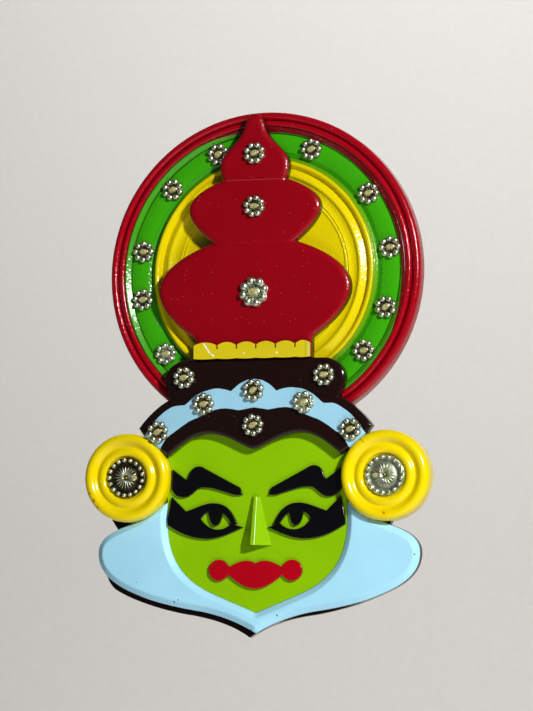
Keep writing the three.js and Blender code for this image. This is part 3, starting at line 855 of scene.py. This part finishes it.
for side, centre in EAR_CENTRES.items():
    bm = bmesh.new()
    spun(bm, ear_line, centre.x, centre.z, EAR_STEPS)
    ear = to_object(f"turned_ear_{side}", bm, [yellow, yellow, washed_wood], EAR_SHARP, weighted=False)
    cut_away(ear, [headband_cutter()], EAR_SHARP)
    clear_cutters()
    hand_over(ear, f"ear_disc_{side}")


# %% [markdown]
# The crown is one board with three tiers, like a stack of lamps: a finial drop, a small oval and a wide
# oval on a straight foot. Its edge is sanded well round, which is what carries the glints on its right.

# %% Crown
crown_low, crown_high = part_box("crown_plate")
CROWN_HALF = (crown_high.x - crown_low.x) / 2
CROWN_MIDDLE = (crown_high.x + crown_low.x) / 2
CROWN_HEIGHT = crown_high.z - crown_low.z
CROWN_FOOT = 52.4 * MM / CROWN_HALF
CROWN_ROLL = (5.6 * MM, 3.2 * MM)
CROWN_ROLL_RINGS = 8

crown_line = draw(
    shares(CROWN_HALF, CROWN_HEIGHT, crown_high.z), (0, 0),
    (0.058, 0, 0.09, -0.02, 0.104, -0.045), (0.13, -0.12, 0.36, -0.15, 0.36, -0.211),
    (0.36, -0.235, 0.345, -0.258, 0.329, -0.27), (0.5, -0.293, 0.688, -0.333, 0.688, -0.387),
    (0.688, -0.422, 0.605, -0.47, 0.428, -0.526), (0.767, -0.566, 1.012, -0.643, 1, -0.718),
    (1, -0.779, 0.837, -0.859, CROWN_FOOT, -0.915), (CROWN_FOOT, -1), steps=16,
)
crown = cut_out("sawn_crown", [crown_line], crown_high.y, crown_low.y,
                [crimson, edge_brown, washed_wood], CROWN_ROLL, CROWN_ROLL_RINGS, shift=CROWN_MIDDLE)
hand_over(crown, "crown_plate")


# %% [markdown]
# The strip of six beads across the crown's foot is thin and only scalloped in outline. A saw nick
# parts the beads at the top.

# %% Bead strip
bead_low, bead_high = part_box("bead_band")
BEADS = 6
FIRST_BEAD_EXTRA = 3.8 * MM
NICK_DEPTH = 3.4 * MM
NICK_HALF = 0.55 * MM
SCALLOP = 1.0 * MM
FOOT_SCALLOP = 0.55 * MM
BEAD_ROLL = (0.5 * MM, 0.4 * MM)


def bead_line():
    pitch = (bead_high.x - bead_low.x) / BEADS
    ends = [bead_low.x, *(bead_low.x + FIRST_BEAD_EXTRA + i * pitch for i in range(1, BEADS)), bead_high.x]
    foot, shoulder = bead_low.z + FOOT_SCALLOP, bead_high.z - 2.6 * SCALLOP
    points = []
    for a, b in zip(ends, ends[1:]):
        third = (b - a) / 3
        points += interpolate_bezier(
            Vector((a, 0, foot)), Vector((a + third, 0, foot - 1.3 * FOOT_SCALLOP)),
            Vector((b - third, 0, foot - 1.3 * FOOT_SCALLOP)), Vector((b, 0, foot)), 9)[:-1]
    points.append(Vector((ends[-1], 0, foot)))
    for a, b in reversed(list(zip(ends, ends[1:]))):
        third = (b - a) / 3
        right = b if b == ends[-1] else b - NICK_HALF
        left = a if a == ends[0] else a + NICK_HALF
        lift = shoulder + 3.4 * SCALLOP
        points += interpolate_bezier(Vector((right, 0, shoulder)), Vector((b - third, 0, lift)),
                                     Vector((a + third, 0, lift)), Vector((left, 0, shoulder)), 13)
        if a != ends[0]:
            points += [Vector((a + NICK_HALF, 0, shoulder - NICK_DEPTH)),
                       Vector((a - NICK_HALF, 0, shoulder - NICK_DEPTH))]
    return points


beads = cut_out("bead_strip", [bead_line()], bead_high.y, bead_low.y, [ochre, edge_brown, washed_wood],
                BEAD_ROLL, 2, mirrored=False)
hand_over(beads, "bead_band")


# %% [markdown]
# The headband is dark brown with a light blue band painted across it, and nothing of that band is
# raised. Its two wavy borders are drawn as curves of height against the distance from the middle, and
# Float Curve nodes read them, so the paint follows the shape at any resolution.

# %% Headband
BAND_BORDERS = {
    "upper": ((0, -93.5), (10, -96), (20.5, -104), (28, -101.8), (38, -101.8), (50, -106),
              (62.5, -115.5), (72, -116.2), (80, -120.5), (90, -129), (98.5, -140.8), (106, -152)),
    "lower": ((0, -117.9), (13, -120), (30, -118.6), (46, -124.4), (60, -130.5), (72, -138.5),
              (79, -144), (84.5, -152.8), (90, -162), (106, -190)),
}
CUSPS = ((20.5, -104), (62.5, -115.5), (13, -120))
BORDER_RANGE = (-200.0, -80.0)
BORDER_REACH = 106.0
BORDER_WOBBLE = 0.3 * MM
BORDER_SOFTNESS = 0.2 * MM
BAND_ROLL = (4.2 * MM, 2.4 * MM)


def border(tree, across, points):
    """The border's height, in metres, at a distance from the middle line."""
    low, high = BORDER_RANGE
    curve = node(tree, "FloatCurve", {"Value": across})
    line = curve.mapping.curves[0]
    while len(line.points) < len(points):
        line.points.new(0.5, 0.5)
    for knot, (x, z) in zip(line.points, points):
        knot.location = (x / BORDER_REACH, (z - low) / (high - low))
        knot.handle_type = "VECTOR" if (x, z) in CUSPS else "AUTO"
    curve.mapping.update()
    scaled = maths(tree, "MULTIPLY", curve.outputs["Value"], (high - low) * MM)
    return maths(tree, "ADD", scaled, low * MM)


def soft_step(tree, value, edge):
    """0 below zero and 1 above it, over the width of a brush mark's soft edge."""
    return node(tree, "MapRange", {"Value": value, "From Min": -edge, "From Max": edge}).outputs["Result"]


def band_colours(tree, place):
    parts = node(tree, "SeparateXYZ", {"Vector": place})
    across = maths(tree, "DIVIDE", maths(tree, "ABSOLUTE", parts.outputs["X"]), BORDER_REACH * MM)
    wobble = clouds(tree, place, 90.0, -BORDER_WOBBLE, BORDER_WOBBLE)
    height = maths(tree, "ADD", parts.outputs["Z"], wobble)
    under = maths(tree, "SUBTRACT", border(tree, across, BAND_BORDERS["upper"]), height)
    over = maths(tree, "SUBTRACT", height, border(tree, across, BAND_BORDERS["lower"]))
    inside = soft_step(tree, maths(tree, "MINIMUM", under, over), BORDER_SOFTNESS)
    return blend(tree, inside, linear(26, 10, 9), linear(156, 208, 232))


band_paint = enamel("headband enamel", band_colours, 0.14, nibs=0.2)
headband = cut_out("sawn_headband", [headband_line()], band_high.y, band_low.y,
                   [band_paint, dark_brown, washed_wood], BAND_ROLL, 6)
hand_over(headband, "headband_plate")


# %% [markdown]
# The face is a flat green board with straight cheeks and a pointed chin. It lies sunk inside the collar,
# level with the halo, and its top is sawn to the halo's arc under the headband.

# %% Face
face_low, face_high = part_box("face_plate")
FACE_HALF = face_high.x
CHIN_Z = face_low.z
JAW_HEIGHT = 80.8 * MM
CHEEK_TOP = EAR_CENTRES["left"].z + EAR_RADIUS


def jaw(grow):
    """The curve of cheek and chin, as strokes in metres."""
    def at(x, z):
        return x * FACE_HALF + (grow if x else 0), CHIN_Z + z * JAW_HEIGHT - grow
    return (
        (*at(1, 0.629), *at(0.872, 0.406), *at(0.598, 0.254)),
        (*at(0.411, 0.158), *at(0.174, 0.078), *at(0, 0)),
    )


def as_drawn(x, z):
    return x, z


def halo_cutter():
    return disc_cutter(halo_x, 0.0, halo_radius + 2 * GLUE_GAP)


face_line = draw(as_drawn, (0, CHEEK_TOP), (FACE_HALF, CHEEK_TOP), (FACE_HALF, CHIN_Z + JAW_HEIGHT),
                 *jaw(0), steps=20)
face = cut_out("sawn_face", [face_line], face_high.y, face_low.y, [lime, lime, washed_wood])
cut_away(face, [halo_cutter(), *ear_cutters()])
clear_cutters()
hand_over(face, "face_plate")


# %% [markdown]
# The collar is a wide wing on each side that meets in a point under the chin. A broad chamfer runs
# along its outer and its inner edge, so the flat on top is smaller than the board. It is fitted snugly
# round the face. Its outer sides are dark like the other sawn edges, and its inner ones are blue.

# %% Collar
collar_low, collar_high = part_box("collar")
COLLAR_HALF = collar_high.x
SNUG = 0.06 * MM
COLLAR_INNER = FACE_HALF + SNUG
COLLAR_HEIGHT = 112.3 * MM
COLLAR_TOP = collar_low.z + COLLAR_HEIGHT
CHAMFER_WIDTH = 5.2 * MM
CHAMFER_DEPTH = 4.2 * MM
CHAMFER_SANDING = 0.9 * MM


def collar_line():
    reach = COLLAR_HALF - COLLAR_INNER
    top_of_cheek = CHIN_Z + JAW_HEIGHT

    def wing(x, z):
        return COLLAR_INNER + x * reach, COLLAR_TOP - z * COLLAR_HEIGHT

    def under(x, z):
        return x * COLLAR_HALF, COLLAR_TOP - z * COLLAR_HEIGHT

    outer = draw(
        as_drawn, wing(0.243, 0.071),
        (*wing(0.495, 0.205), *wing(1, 0.196), *wing(1, 0.392)),
        (*wing(1, 0.57), *wing(0.685, 0.659), *wing(0.345, 0.73)),
        (*under(0.611, 0.776), *under(0.472, 0.812), *under(0.361, 0.833)),
        (*under(0.25, 0.856), *under(0.125, 0.906), *under(0, 1)), steps=16,
    )
    inner = draw(as_drawn, (COLLAR_INNER, COLLAR_TOP), (COLLAR_INNER, top_of_cheek), *jaw(SNUG), steps=20)
    return [*reversed(outer), *inner]


bm = bmesh.new()
faces = fill(bm, [collar_line()], True)
faces = raise_board(bm, faces, collar_high.y, collar_low.y + CHAMFER_DEPTH)
bmesh.ops.inset_region(bm, faces=faces, thickness=CHAMFER_WIDTH, depth=CHAMFER_DEPTH, use_even_offset=True,
                       use_boundary=True)
folds = [e for e in bm.edges if len(e.link_faces) == 2 and 0.2 < e.calc_face_angle() < 1.2]
rims = [e for e in folds if max(v.co.y for v in e.verts) < collar_high.y - MM
        and abs(e.verts[0].co.y - e.verts[1].co.y) < TINY]
bmesh.ops.bevel(bm, geom=rims, offset=CHAMFER_SANDING, offset_type="OFFSET", affect="EDGES", segments=3,
                profile=0.5, material=-1, clamp_overlap=True)
collar = to_object("sawn_collar", bm, [pale_blue, edge_brown, washed_wood])
for face in collar.data.polygons:
    outward = Vector((face.center.x, 0, face.center.z - EAR_CENTRES["left"].z))
    if face.material_index == EDGE and face.normal.dot(outward) < 0:
        face.material_index = FRONT
cut_away(collar, ear_cutters())
clear_cutters()
hand_over(collar, "collar")


# %% [markdown]
# The board behind carries the face, the collar and the ears. From the front it only shows as a dark edge
# under the collar and below the ears, but from behind it is the largest piece.

# %% Back board
board_low, board_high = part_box("base_board")
BOARD_MIDDLE = (board_low.x + board_high.x) / 2
BOARD_HALF = (board_high.x - board_low.x) / 2
EAR_X, EAR_Z = EAR_CENTRES["right"].x, EAR_CENTRES["right"].z
LOBE = BOARD_HALF - EAR_X
BOARD_TOP = BAND_TOP - 0.6 * BAND_HEIGHT
BOARD_ROLL = (0.6 * MM, 0.6 * MM)


def board_line():
    def low(x, z):
        return x * BOARD_HALF, board_low.z + z * JAW_HEIGHT

    def arc(start, end, steps):
        turn = [radians(start + (end - start) * i / steps) for i in range(steps + 1)]
        return [(EAR_X + LOBE * cos(a), EAR_Z + LOBE * sin(a)) for a in turn]

    return draw(
        as_drawn, (0, BOARD_TOP), (FACE_HALF, BOARD_TOP), (EAR_X - 0.51 * LOBE, EAR_Z + 0.86 * LOBE),
        *arc(120, -45, 40)[1:], low(0.832, 1.145),
        (*low(0.924, 0.916), *low(0.938, 0.644), *low(0.846, 0.507)),
        (*low(0.722, 0.37), *low(0.5, 0.265), *low(0.358, 0.232)),
        (*low(0.26, 0.2), *low(0.12, 0.15), *low(0, 0)), steps=16,
    )


board = cut_out("back_board", [board_line()], board_high.y, board_low.y,
                [dark_brown, dark_brown, washed_wood], BOARD_ROLL, 3, shift=BOARD_MIDDLE)
cut_away(board, [halo_cutter()])
clear_cutters()
hand_over(board, "base_board")


# %% [markdown]
# Brows and eyes are thin black cut-outs glued on the green, and the eyes are pierced so that the green
# below makes the white of the eye. Each is drawn in shares of its own length for the right side. The
# left one is the same drawing with its sign changed.

# %% Brows and eyes
BROW_START = 11.7 * MM
BROW_Z = -180.7 * MM
BROW_LENGTH = FACE_HALF - 4.1 * MM - BROW_START
EYE_START = 10.9 * MM
EYE_Z = -212.0 * MM
EYE_LENGTH = FACE_HALF - 0.8 * MM - EYE_START
THIN_ROLL = (0.9 * MM, 0.7 * MM)

BROW = (
    (0, -0.181), (0.036, -0.085), (0.532, 0.174),
    (0.6, 0.226, 0.68, 0.205, 0.721, 0.155), (0.752, 0.12, 0.76, 0.03, 0.789, 0.023),
    (0.986, 0.166), (1, -0.1),
    (0.96, -0.2, 0.82, -0.25, 0.72, -0.175), (0.66, -0.13, 0.63, -0.08, 0.55, -0.08),
    (0.4, -0.08, 0.3, -0.13, 0.1, -0.186),
)
EYE = (
    (0, -0.118), (0.111, -0.087), (0.08, -0.07),
    (0.14, 0.05, 0.2, 0.187, 0.4, 0.187), (0.52, 0.187, 0.66, 0.11, 0.76, 0.085),
    (0.945, 0.265), (1, 0), (1, -0.085),
    (0.8, -0.225, 0.62, -0.262, 0.47, -0.262), (0.34, -0.262, 0.2, -0.21, 0, -0.118),
)
EYE_HOLE = (
    (0.156, -0.068), (0.26, -0.175, 0.44, -0.185, 0.562, -0.012),
    (0.53, 0.035, 0.5, 0.06, 0.457, 0.073), (0.45, -0.02, 0.42, -0.098, 0.366, -0.098),
    (0.31, -0.098, 0.29, -0.03, 0.28, 0.062), (0.23, 0.035, 0.19, -0.02, 0.156, -0.068),
)


def feature_loop(strokes, start, z, length, sign):
    points = draw(lambda x, y: (sign * (start + x * length), z + y * length), *strokes, steps=8)
    closes = (points[0] - points[-1]).length < TINY
    return points[:-1] if closes else points


for side, sign in (("left", -1), ("right", 1)):
    low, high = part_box(f"eyebrow_{side}")
    outlines = {
        "brow": ("eyebrow", [feature_loop(BROW, BROW_START, BROW_Z, BROW_LENGTH, sign)]),
        "eye_line": ("eye", [feature_loop(EYE, EYE_START, EYE_Z, EYE_LENGTH, sign),
                             feature_loop(EYE_HOLE, EYE_START, EYE_Z, EYE_LENGTH, sign)]),
    }
    for name, (cad_name, loops) in outlines.items():
        piece = cut_out(f"{name}_{side}", loops, high.y, low.y, [black, black, washed_wood], THIN_ROLL, 3,
                        mirrored=False)
        cut_away(piece, ear_cutters())
        clear_cutters()
        hand_over(piece, f"{cad_name}_{side}")


# %% [markdown]
# The lips are one bow with a round lobe at each end.

# %% Lips
lips_low, lips_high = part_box("lips")
LIPS_HALF = lips_high.x
LOBE_RADIUS = 9.1 * MM
LIPS_Z = -256.7 * MM


def lips_line():
    def at(x, z):
        return x * LIPS_HALF, LIPS_Z + z * LOBE_RADIUS
    lobe_x = LIPS_HALF - LOBE_RADIUS
    turn = [radians(155 - 310 * i / 30) for i in range(31)]
    lobe = [(lobe_x + LOBE_RADIUS * cos(a), LIPS_Z + LOBE_RADIUS * sin(a)) for a in turn]
    return draw(as_drawn, at(0, 0.63), (*at(0.14, 1.12), *at(0.34, 0.9), *at(0.54, 0.37)), *lobe,
                (*at(0.41, -1.08), *at(0.22, -1.73), *at(0, -1.73)))


lips = cut_out("lips_bow", [lips_line()], lips_high.y, lips_low.y, [lip_red, lip_edge, washed_wood],
               THIN_ROLL, 4)
hand_over(lips, "lips")


# %% [markdown]
# The nose is a wooden wedge with a narrow ridge. It starts as the four corners of its foot, is extruded
# up to its small top end, and every edge is then broken with a bevel. The sawn lower end is dark, like
# the other sawn edges.

# %% Nose
nose_low, nose_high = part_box("nose")
NOSE_TOP_RISE = 3.3 * MM
NOSE_TOP_HALF = 3.4 * MM
RIDGE = {"top": 1.2 * MM, "foot": 1.8 * MM}
NOSE_SANDING = 0.35 * MM

bm = bmesh.new()
foot_rise = nose_high.y - nose_low.y
foot = [(-nose_high.x, 0), (nose_high.x, 0), (RIDGE["foot"], -foot_rise), (-RIDGE["foot"], -foot_rise)]
top = [(-NOSE_TOP_HALF, 0), (NOSE_TOP_HALF, 0), (RIDGE["top"], -NOSE_TOP_RISE),
       (-RIDGE["top"], -NOSE_TOP_RISE)]
corners = [bm.verts.new((x, nose_high.y + y, nose_low.z)) for x, y in foot]
base_face = bm.faces.new(corners)
grown = bmesh.ops.extrude_face_region(bm, geom=[base_face])["geom"]
tops = [g for g in grown if isinstance(g, bmesh.types.BMVert)]
for vert in tops:
    nearest = min(range(4), key=lambda i: (corners[i].co - vert.co).length)
    vert.co = (top[nearest][0], nose_high.y + top[nearest][1], nose_high.z)
bmesh.ops.recalc_face_normals(bm, faces=bm.faces)
edges = [e for e in bm.edges if max(v.co.y for v in e.verts) < nose_high.y - 0.1 * MM]
bmesh.ops.bevel(bm, geom=edges, offset=NOSE_SANDING, offset_type="OFFSET", affect="EDGES", segments=3,
                profile=0.5, material=-1)
for face in bm.faces:
    face.material_index = EDGE if face.normal.z < -0.9 else FRONT
nose = to_object("nose_wedge", bm, [lime, edge_brown], 30.0, sort_sides=False)
hand_over(nose, "nose")


# %% [markdown]
# The stones are moulded in clear plastic and silvered behind, which makes them look like dark metal
# with bright points. The silvering has tarnished in patches, so each finish blends a bright and a dull
# metal, under a clear coat for the plastic. The cups differ most from stone to stone.

# %% Stone finishes
def silvered(name, bright, dull, roughness, metal=1.0, patch=260.0):
    material, tree = blank_material(name)
    place = node(tree, "TexCoord").outputs["Object"]
    tarnish = clouds(tree, place, patch, 0.0, 1.0, 3.0)
    paint = blend(tree, tarnish, bright, dull)
    bump = node(tree, "Bump", {
        "Height": node(tree, "TexNoise", {"Vector": place, "Scale": 1500.0}).outputs["Fac"],
        "Strength": 0.5, "Distance": 0.02 * MM,
    })
    shader = node(tree, "BsdfPrincipled", {
        "Base Color": paint, "Metallic": metal, "Roughness": roughness, "Normal": bump.outputs["Normal"],
        "Coat Weight": 0.7, "Coat Roughness": 0.06,
    })
    close_material(tree, shader)
    return material


pearl = silvered("silvered pearl", linear(246, 250, 234), linear(190, 198, 168), 0.36)
dark_cup = silvered("tarnished cup", linear(138, 134, 96), linear(62, 58, 36), 0.42)
deep_cup = silvered("blackened cup", linear(96, 88, 58), linear(40, 34, 20), 0.42)
pale_cup = silvered("bright cup", linear(214, 226, 202), linear(140, 150, 118), 0.45)
gem = silvered("amber stone", linear(240, 236, 180), linear(166, 146, 70), 0.32, metal=0.4, patch=900.0)
gold_dot = silvered("gold dot", linear(210, 180, 40), linear(160, 130, 20), 0.3)
PEARL, CUP, GEM, DOT = 0, 1, 2, 3
print("stone finishes:", [m.name for m in (pearl, dark_cup, deep_cup, pale_cup, gem, gold_dot)])


# %% [markdown]
# On a flower stone, eight pearls stand in a ring on a scalloped cup, dark ribs run in between them, and
# a faceted oval stone of a warmer colour sits a little higher in the middle. Pearls, ribs and cup lobes
# are scaled spheres. Each flower is turned by its own angle, as they were stuck on by hand. Its unit is
# a tenth of its radius, so the larger flowers are the same drawing.

# %% Flower stones
PEARLS = 8
BRIGHT_CUPS = ("halo_brooch_10", "crown_brooch_bottom", "headband_brooch_6")


def add_ball(bm, centre, scale, finish, turn=0.0, across=14, rings=9):
    place = Matrix.Translation(centre) @ Matrix.Rotation(turn, 4, "Y") @ Matrix.Diagonal((*scale, 1))
    made = bmesh.ops.create_uvsphere(bm, u_segments=across, v_segments=rings, radius=1.0, matrix=place)
    for face in {f for v in made["verts"] for f in v.link_faces}:
        face.material_index = finish


def add_gem(bm, centre, half_width, half_height, rise, turn):
    """An oval stone with eight sloping facets and a flat table."""
    place = (Matrix.Translation(centre) @ Matrix.Rotation(turn, 4, "Y")
             @ Matrix.Diagonal((half_width, rise, half_height, 1)) @ Matrix.Rotation(pi / 2, 4, "X"))
    made = bmesh.ops.create_cone(bm, cap_ends=True, segments=8, radius1=1.0, radius2=0.62, depth=1.0,
                                 matrix=place)
    for face in {f for v in made["verts"] for f in v.link_faces}:
        face.material_index = GEM


def flower(name, cad_node, turn, stone_turn):
    low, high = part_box(cad_node)
    centre = (low + high) / 2
    radius = (high.x - low.x) / 2
    unit = radius / 10
    back, rise = high.y, high.y - low.y
    bm = bmesh.new()
    dish = draw(lambda r, h: (r * unit, -back + h * rise), (0, 0), (8.4, 0), (8.6, 0.14),
                (8.4, 0.3, 6.6, 0.28, 5.6, 0.24), (4.6, 0.2, 3.4, 0.24, 0, 0.24), steps=6)
    spun(bm, dish, centre.x, centre.z, 32)
    for face in bm.faces:
        face.material_index = CUP
    for i in range(PEARLS):
        angle = turn + 2 * pi * i / PEARLS
        out = Vector((cos(angle), 0, sin(angle)))
        seat = Vector((centre.x, back, centre.z))
        add_ball(bm, seat + out * 7.0 * unit - Vector((0, 0.22 * rise, 0)),
                 (2.95 * unit, 0.2 * rise, 2.95 * unit), CUP, 0, 16, 7)
        add_ball(bm, seat + out * 7.2 * unit - Vector((0, 0.46 * rise, 0)),
                 (2.5 * unit, 0.44 * rise, 2.5 * unit), PEARL, 0, 16, 10)
        between = angle + pi / PEARLS
        aside = Vector((cos(between), 0, sin(between)))
        add_ball(bm, seat + aside * 5.0 * unit - Vector((0, 0.3 * rise, 0)),
                 (2.0 * unit, 0.2 * rise, 0.55 * unit), CUP, -between, 10, 7)
    stone = Vector((centre.x, back - 0.6 * rise, centre.z))
    add_ball(bm, stone + Vector((0, 0.12 * rise, 0)), (4.6 * unit, 0.26 * rise, 3.5 * unit), CUP,
             -stone_turn, 18, 8)
    add_gem(bm, stone - Vector((0, 0.14 * rise, 0)), 4.1 * unit, 2.9 * unit, 0.46 * rise, -stone_turn)
    bmesh.ops.recalc_face_normals(bm, faces=bm.faces)
    cup = pale_cup if cad_node in BRIGHT_CUPS else dark_cup
    piece = to_object(name, bm, (pearl, cup, gem), 32.0, sort_sides=False, weighted=False)
    return hand_over(piece, cad_node)


chance = random.Random(7)
flower_nodes = sorted(n for n in frame["nodes"] if "_brooch_" in n)
for cad_node in flower_nodes:
    flower(cad_node.replace("brooch", "flower"), cad_node, chance.uniform(0, 2 * pi / PEARLS),
           radians(chance.uniform(0, 50)))
print(f"{len(flower_nodes)} flower stones")


# %% [markdown]
# The two large ear stones have a ring of seventeen pearls, a dark channel and a fluted sun in the
# middle, with a small oval stone beside its centre. The flutes are thin stretched balls laid out like
# rays. The right one's silvering has stayed bright, while the left one has blackened.

# %% Ear stones
RING_PEARLS = 17
RAYS = 20

for side, cup, beside in (("left", deep_cup, 1), ("right", pale_cup, -1)):
    cad_node = f"ear_medallion_{side}"
    low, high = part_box(cad_node)
    centre = (low + high) / 2
    radius, rise, back = (high.x - low.x) / 2, high.y - low.y, high.y
    bm = bmesh.new()
    dish = draw(lambda r, h: (r * radius, -back + h * rise), (0, 0), (0.93, 0), (0.975, 0.16),
                (0.975, 0.4, 0.9, 0.5, 0.8, 0.42), (0.7, 0.32, 0.62, 0.28, 0.56, 0.4),
                (0.42, 0.62, 0.2, 0.74, 0.1, 0.6), (0.06, 0.45, 0.03, 0.4, 0, 0.4), steps=8)
    spun(bm, dish, centre.x, centre.z, 64)
    for face in bm.faces:
        face.material_index = CUP
    seat = Vector((centre.x, back - 0.48 * rise, centre.z))
    for i in range(RING_PEARLS):
        angle = 2 * pi * (i + 0.5) / RING_PEARLS
        out = Vector((cos(angle), 0, sin(angle)))
        add_ball(bm, seat + out * 0.84 * radius, (0.11 * radius, 0.44 * rise, 0.11 * radius), PEARL, -angle,
                 16, 11)
    for i in range(RAYS):
        angle = 2 * pi * i / RAYS
        out = Vector((cos(angle), 0, sin(angle)))
        add_ball(bm, seat + out * 0.32 * radius - Vector((0, 0.16 * rise, 0)),
                 (0.22 * radius, 0.24 * rise, 0.036 * radius), PEARL, -angle, 12, 9)
    add_gem(bm, seat + Vector((beside * 0.42 * radius, -0.3 * rise, 0)), 0.17 * radius, 0.12 * radius,
            0.26 * rise, 0.3 * beside)
    add_ball(bm, seat - Vector((0, 0.12 * rise, 0)), (0.07 * radius, 0.1 * rise, 0.07 * radius), DOT)
    bmesh.ops.recalc_face_normals(bm, faces=bm.faces)
    piece = to_object(f"ear_stone_{side}", bm, (pearl, cup, gem, gold_dot), 40.0, sort_sides=False,
                      weighted=False)
    hand_over(piece, cad_node)


# %% [markdown]
# Last, the CAD model's box is printed.

# %% Finish
print("CAD box", [[round(v / MM, 1) for v in c] for c in cad_box])
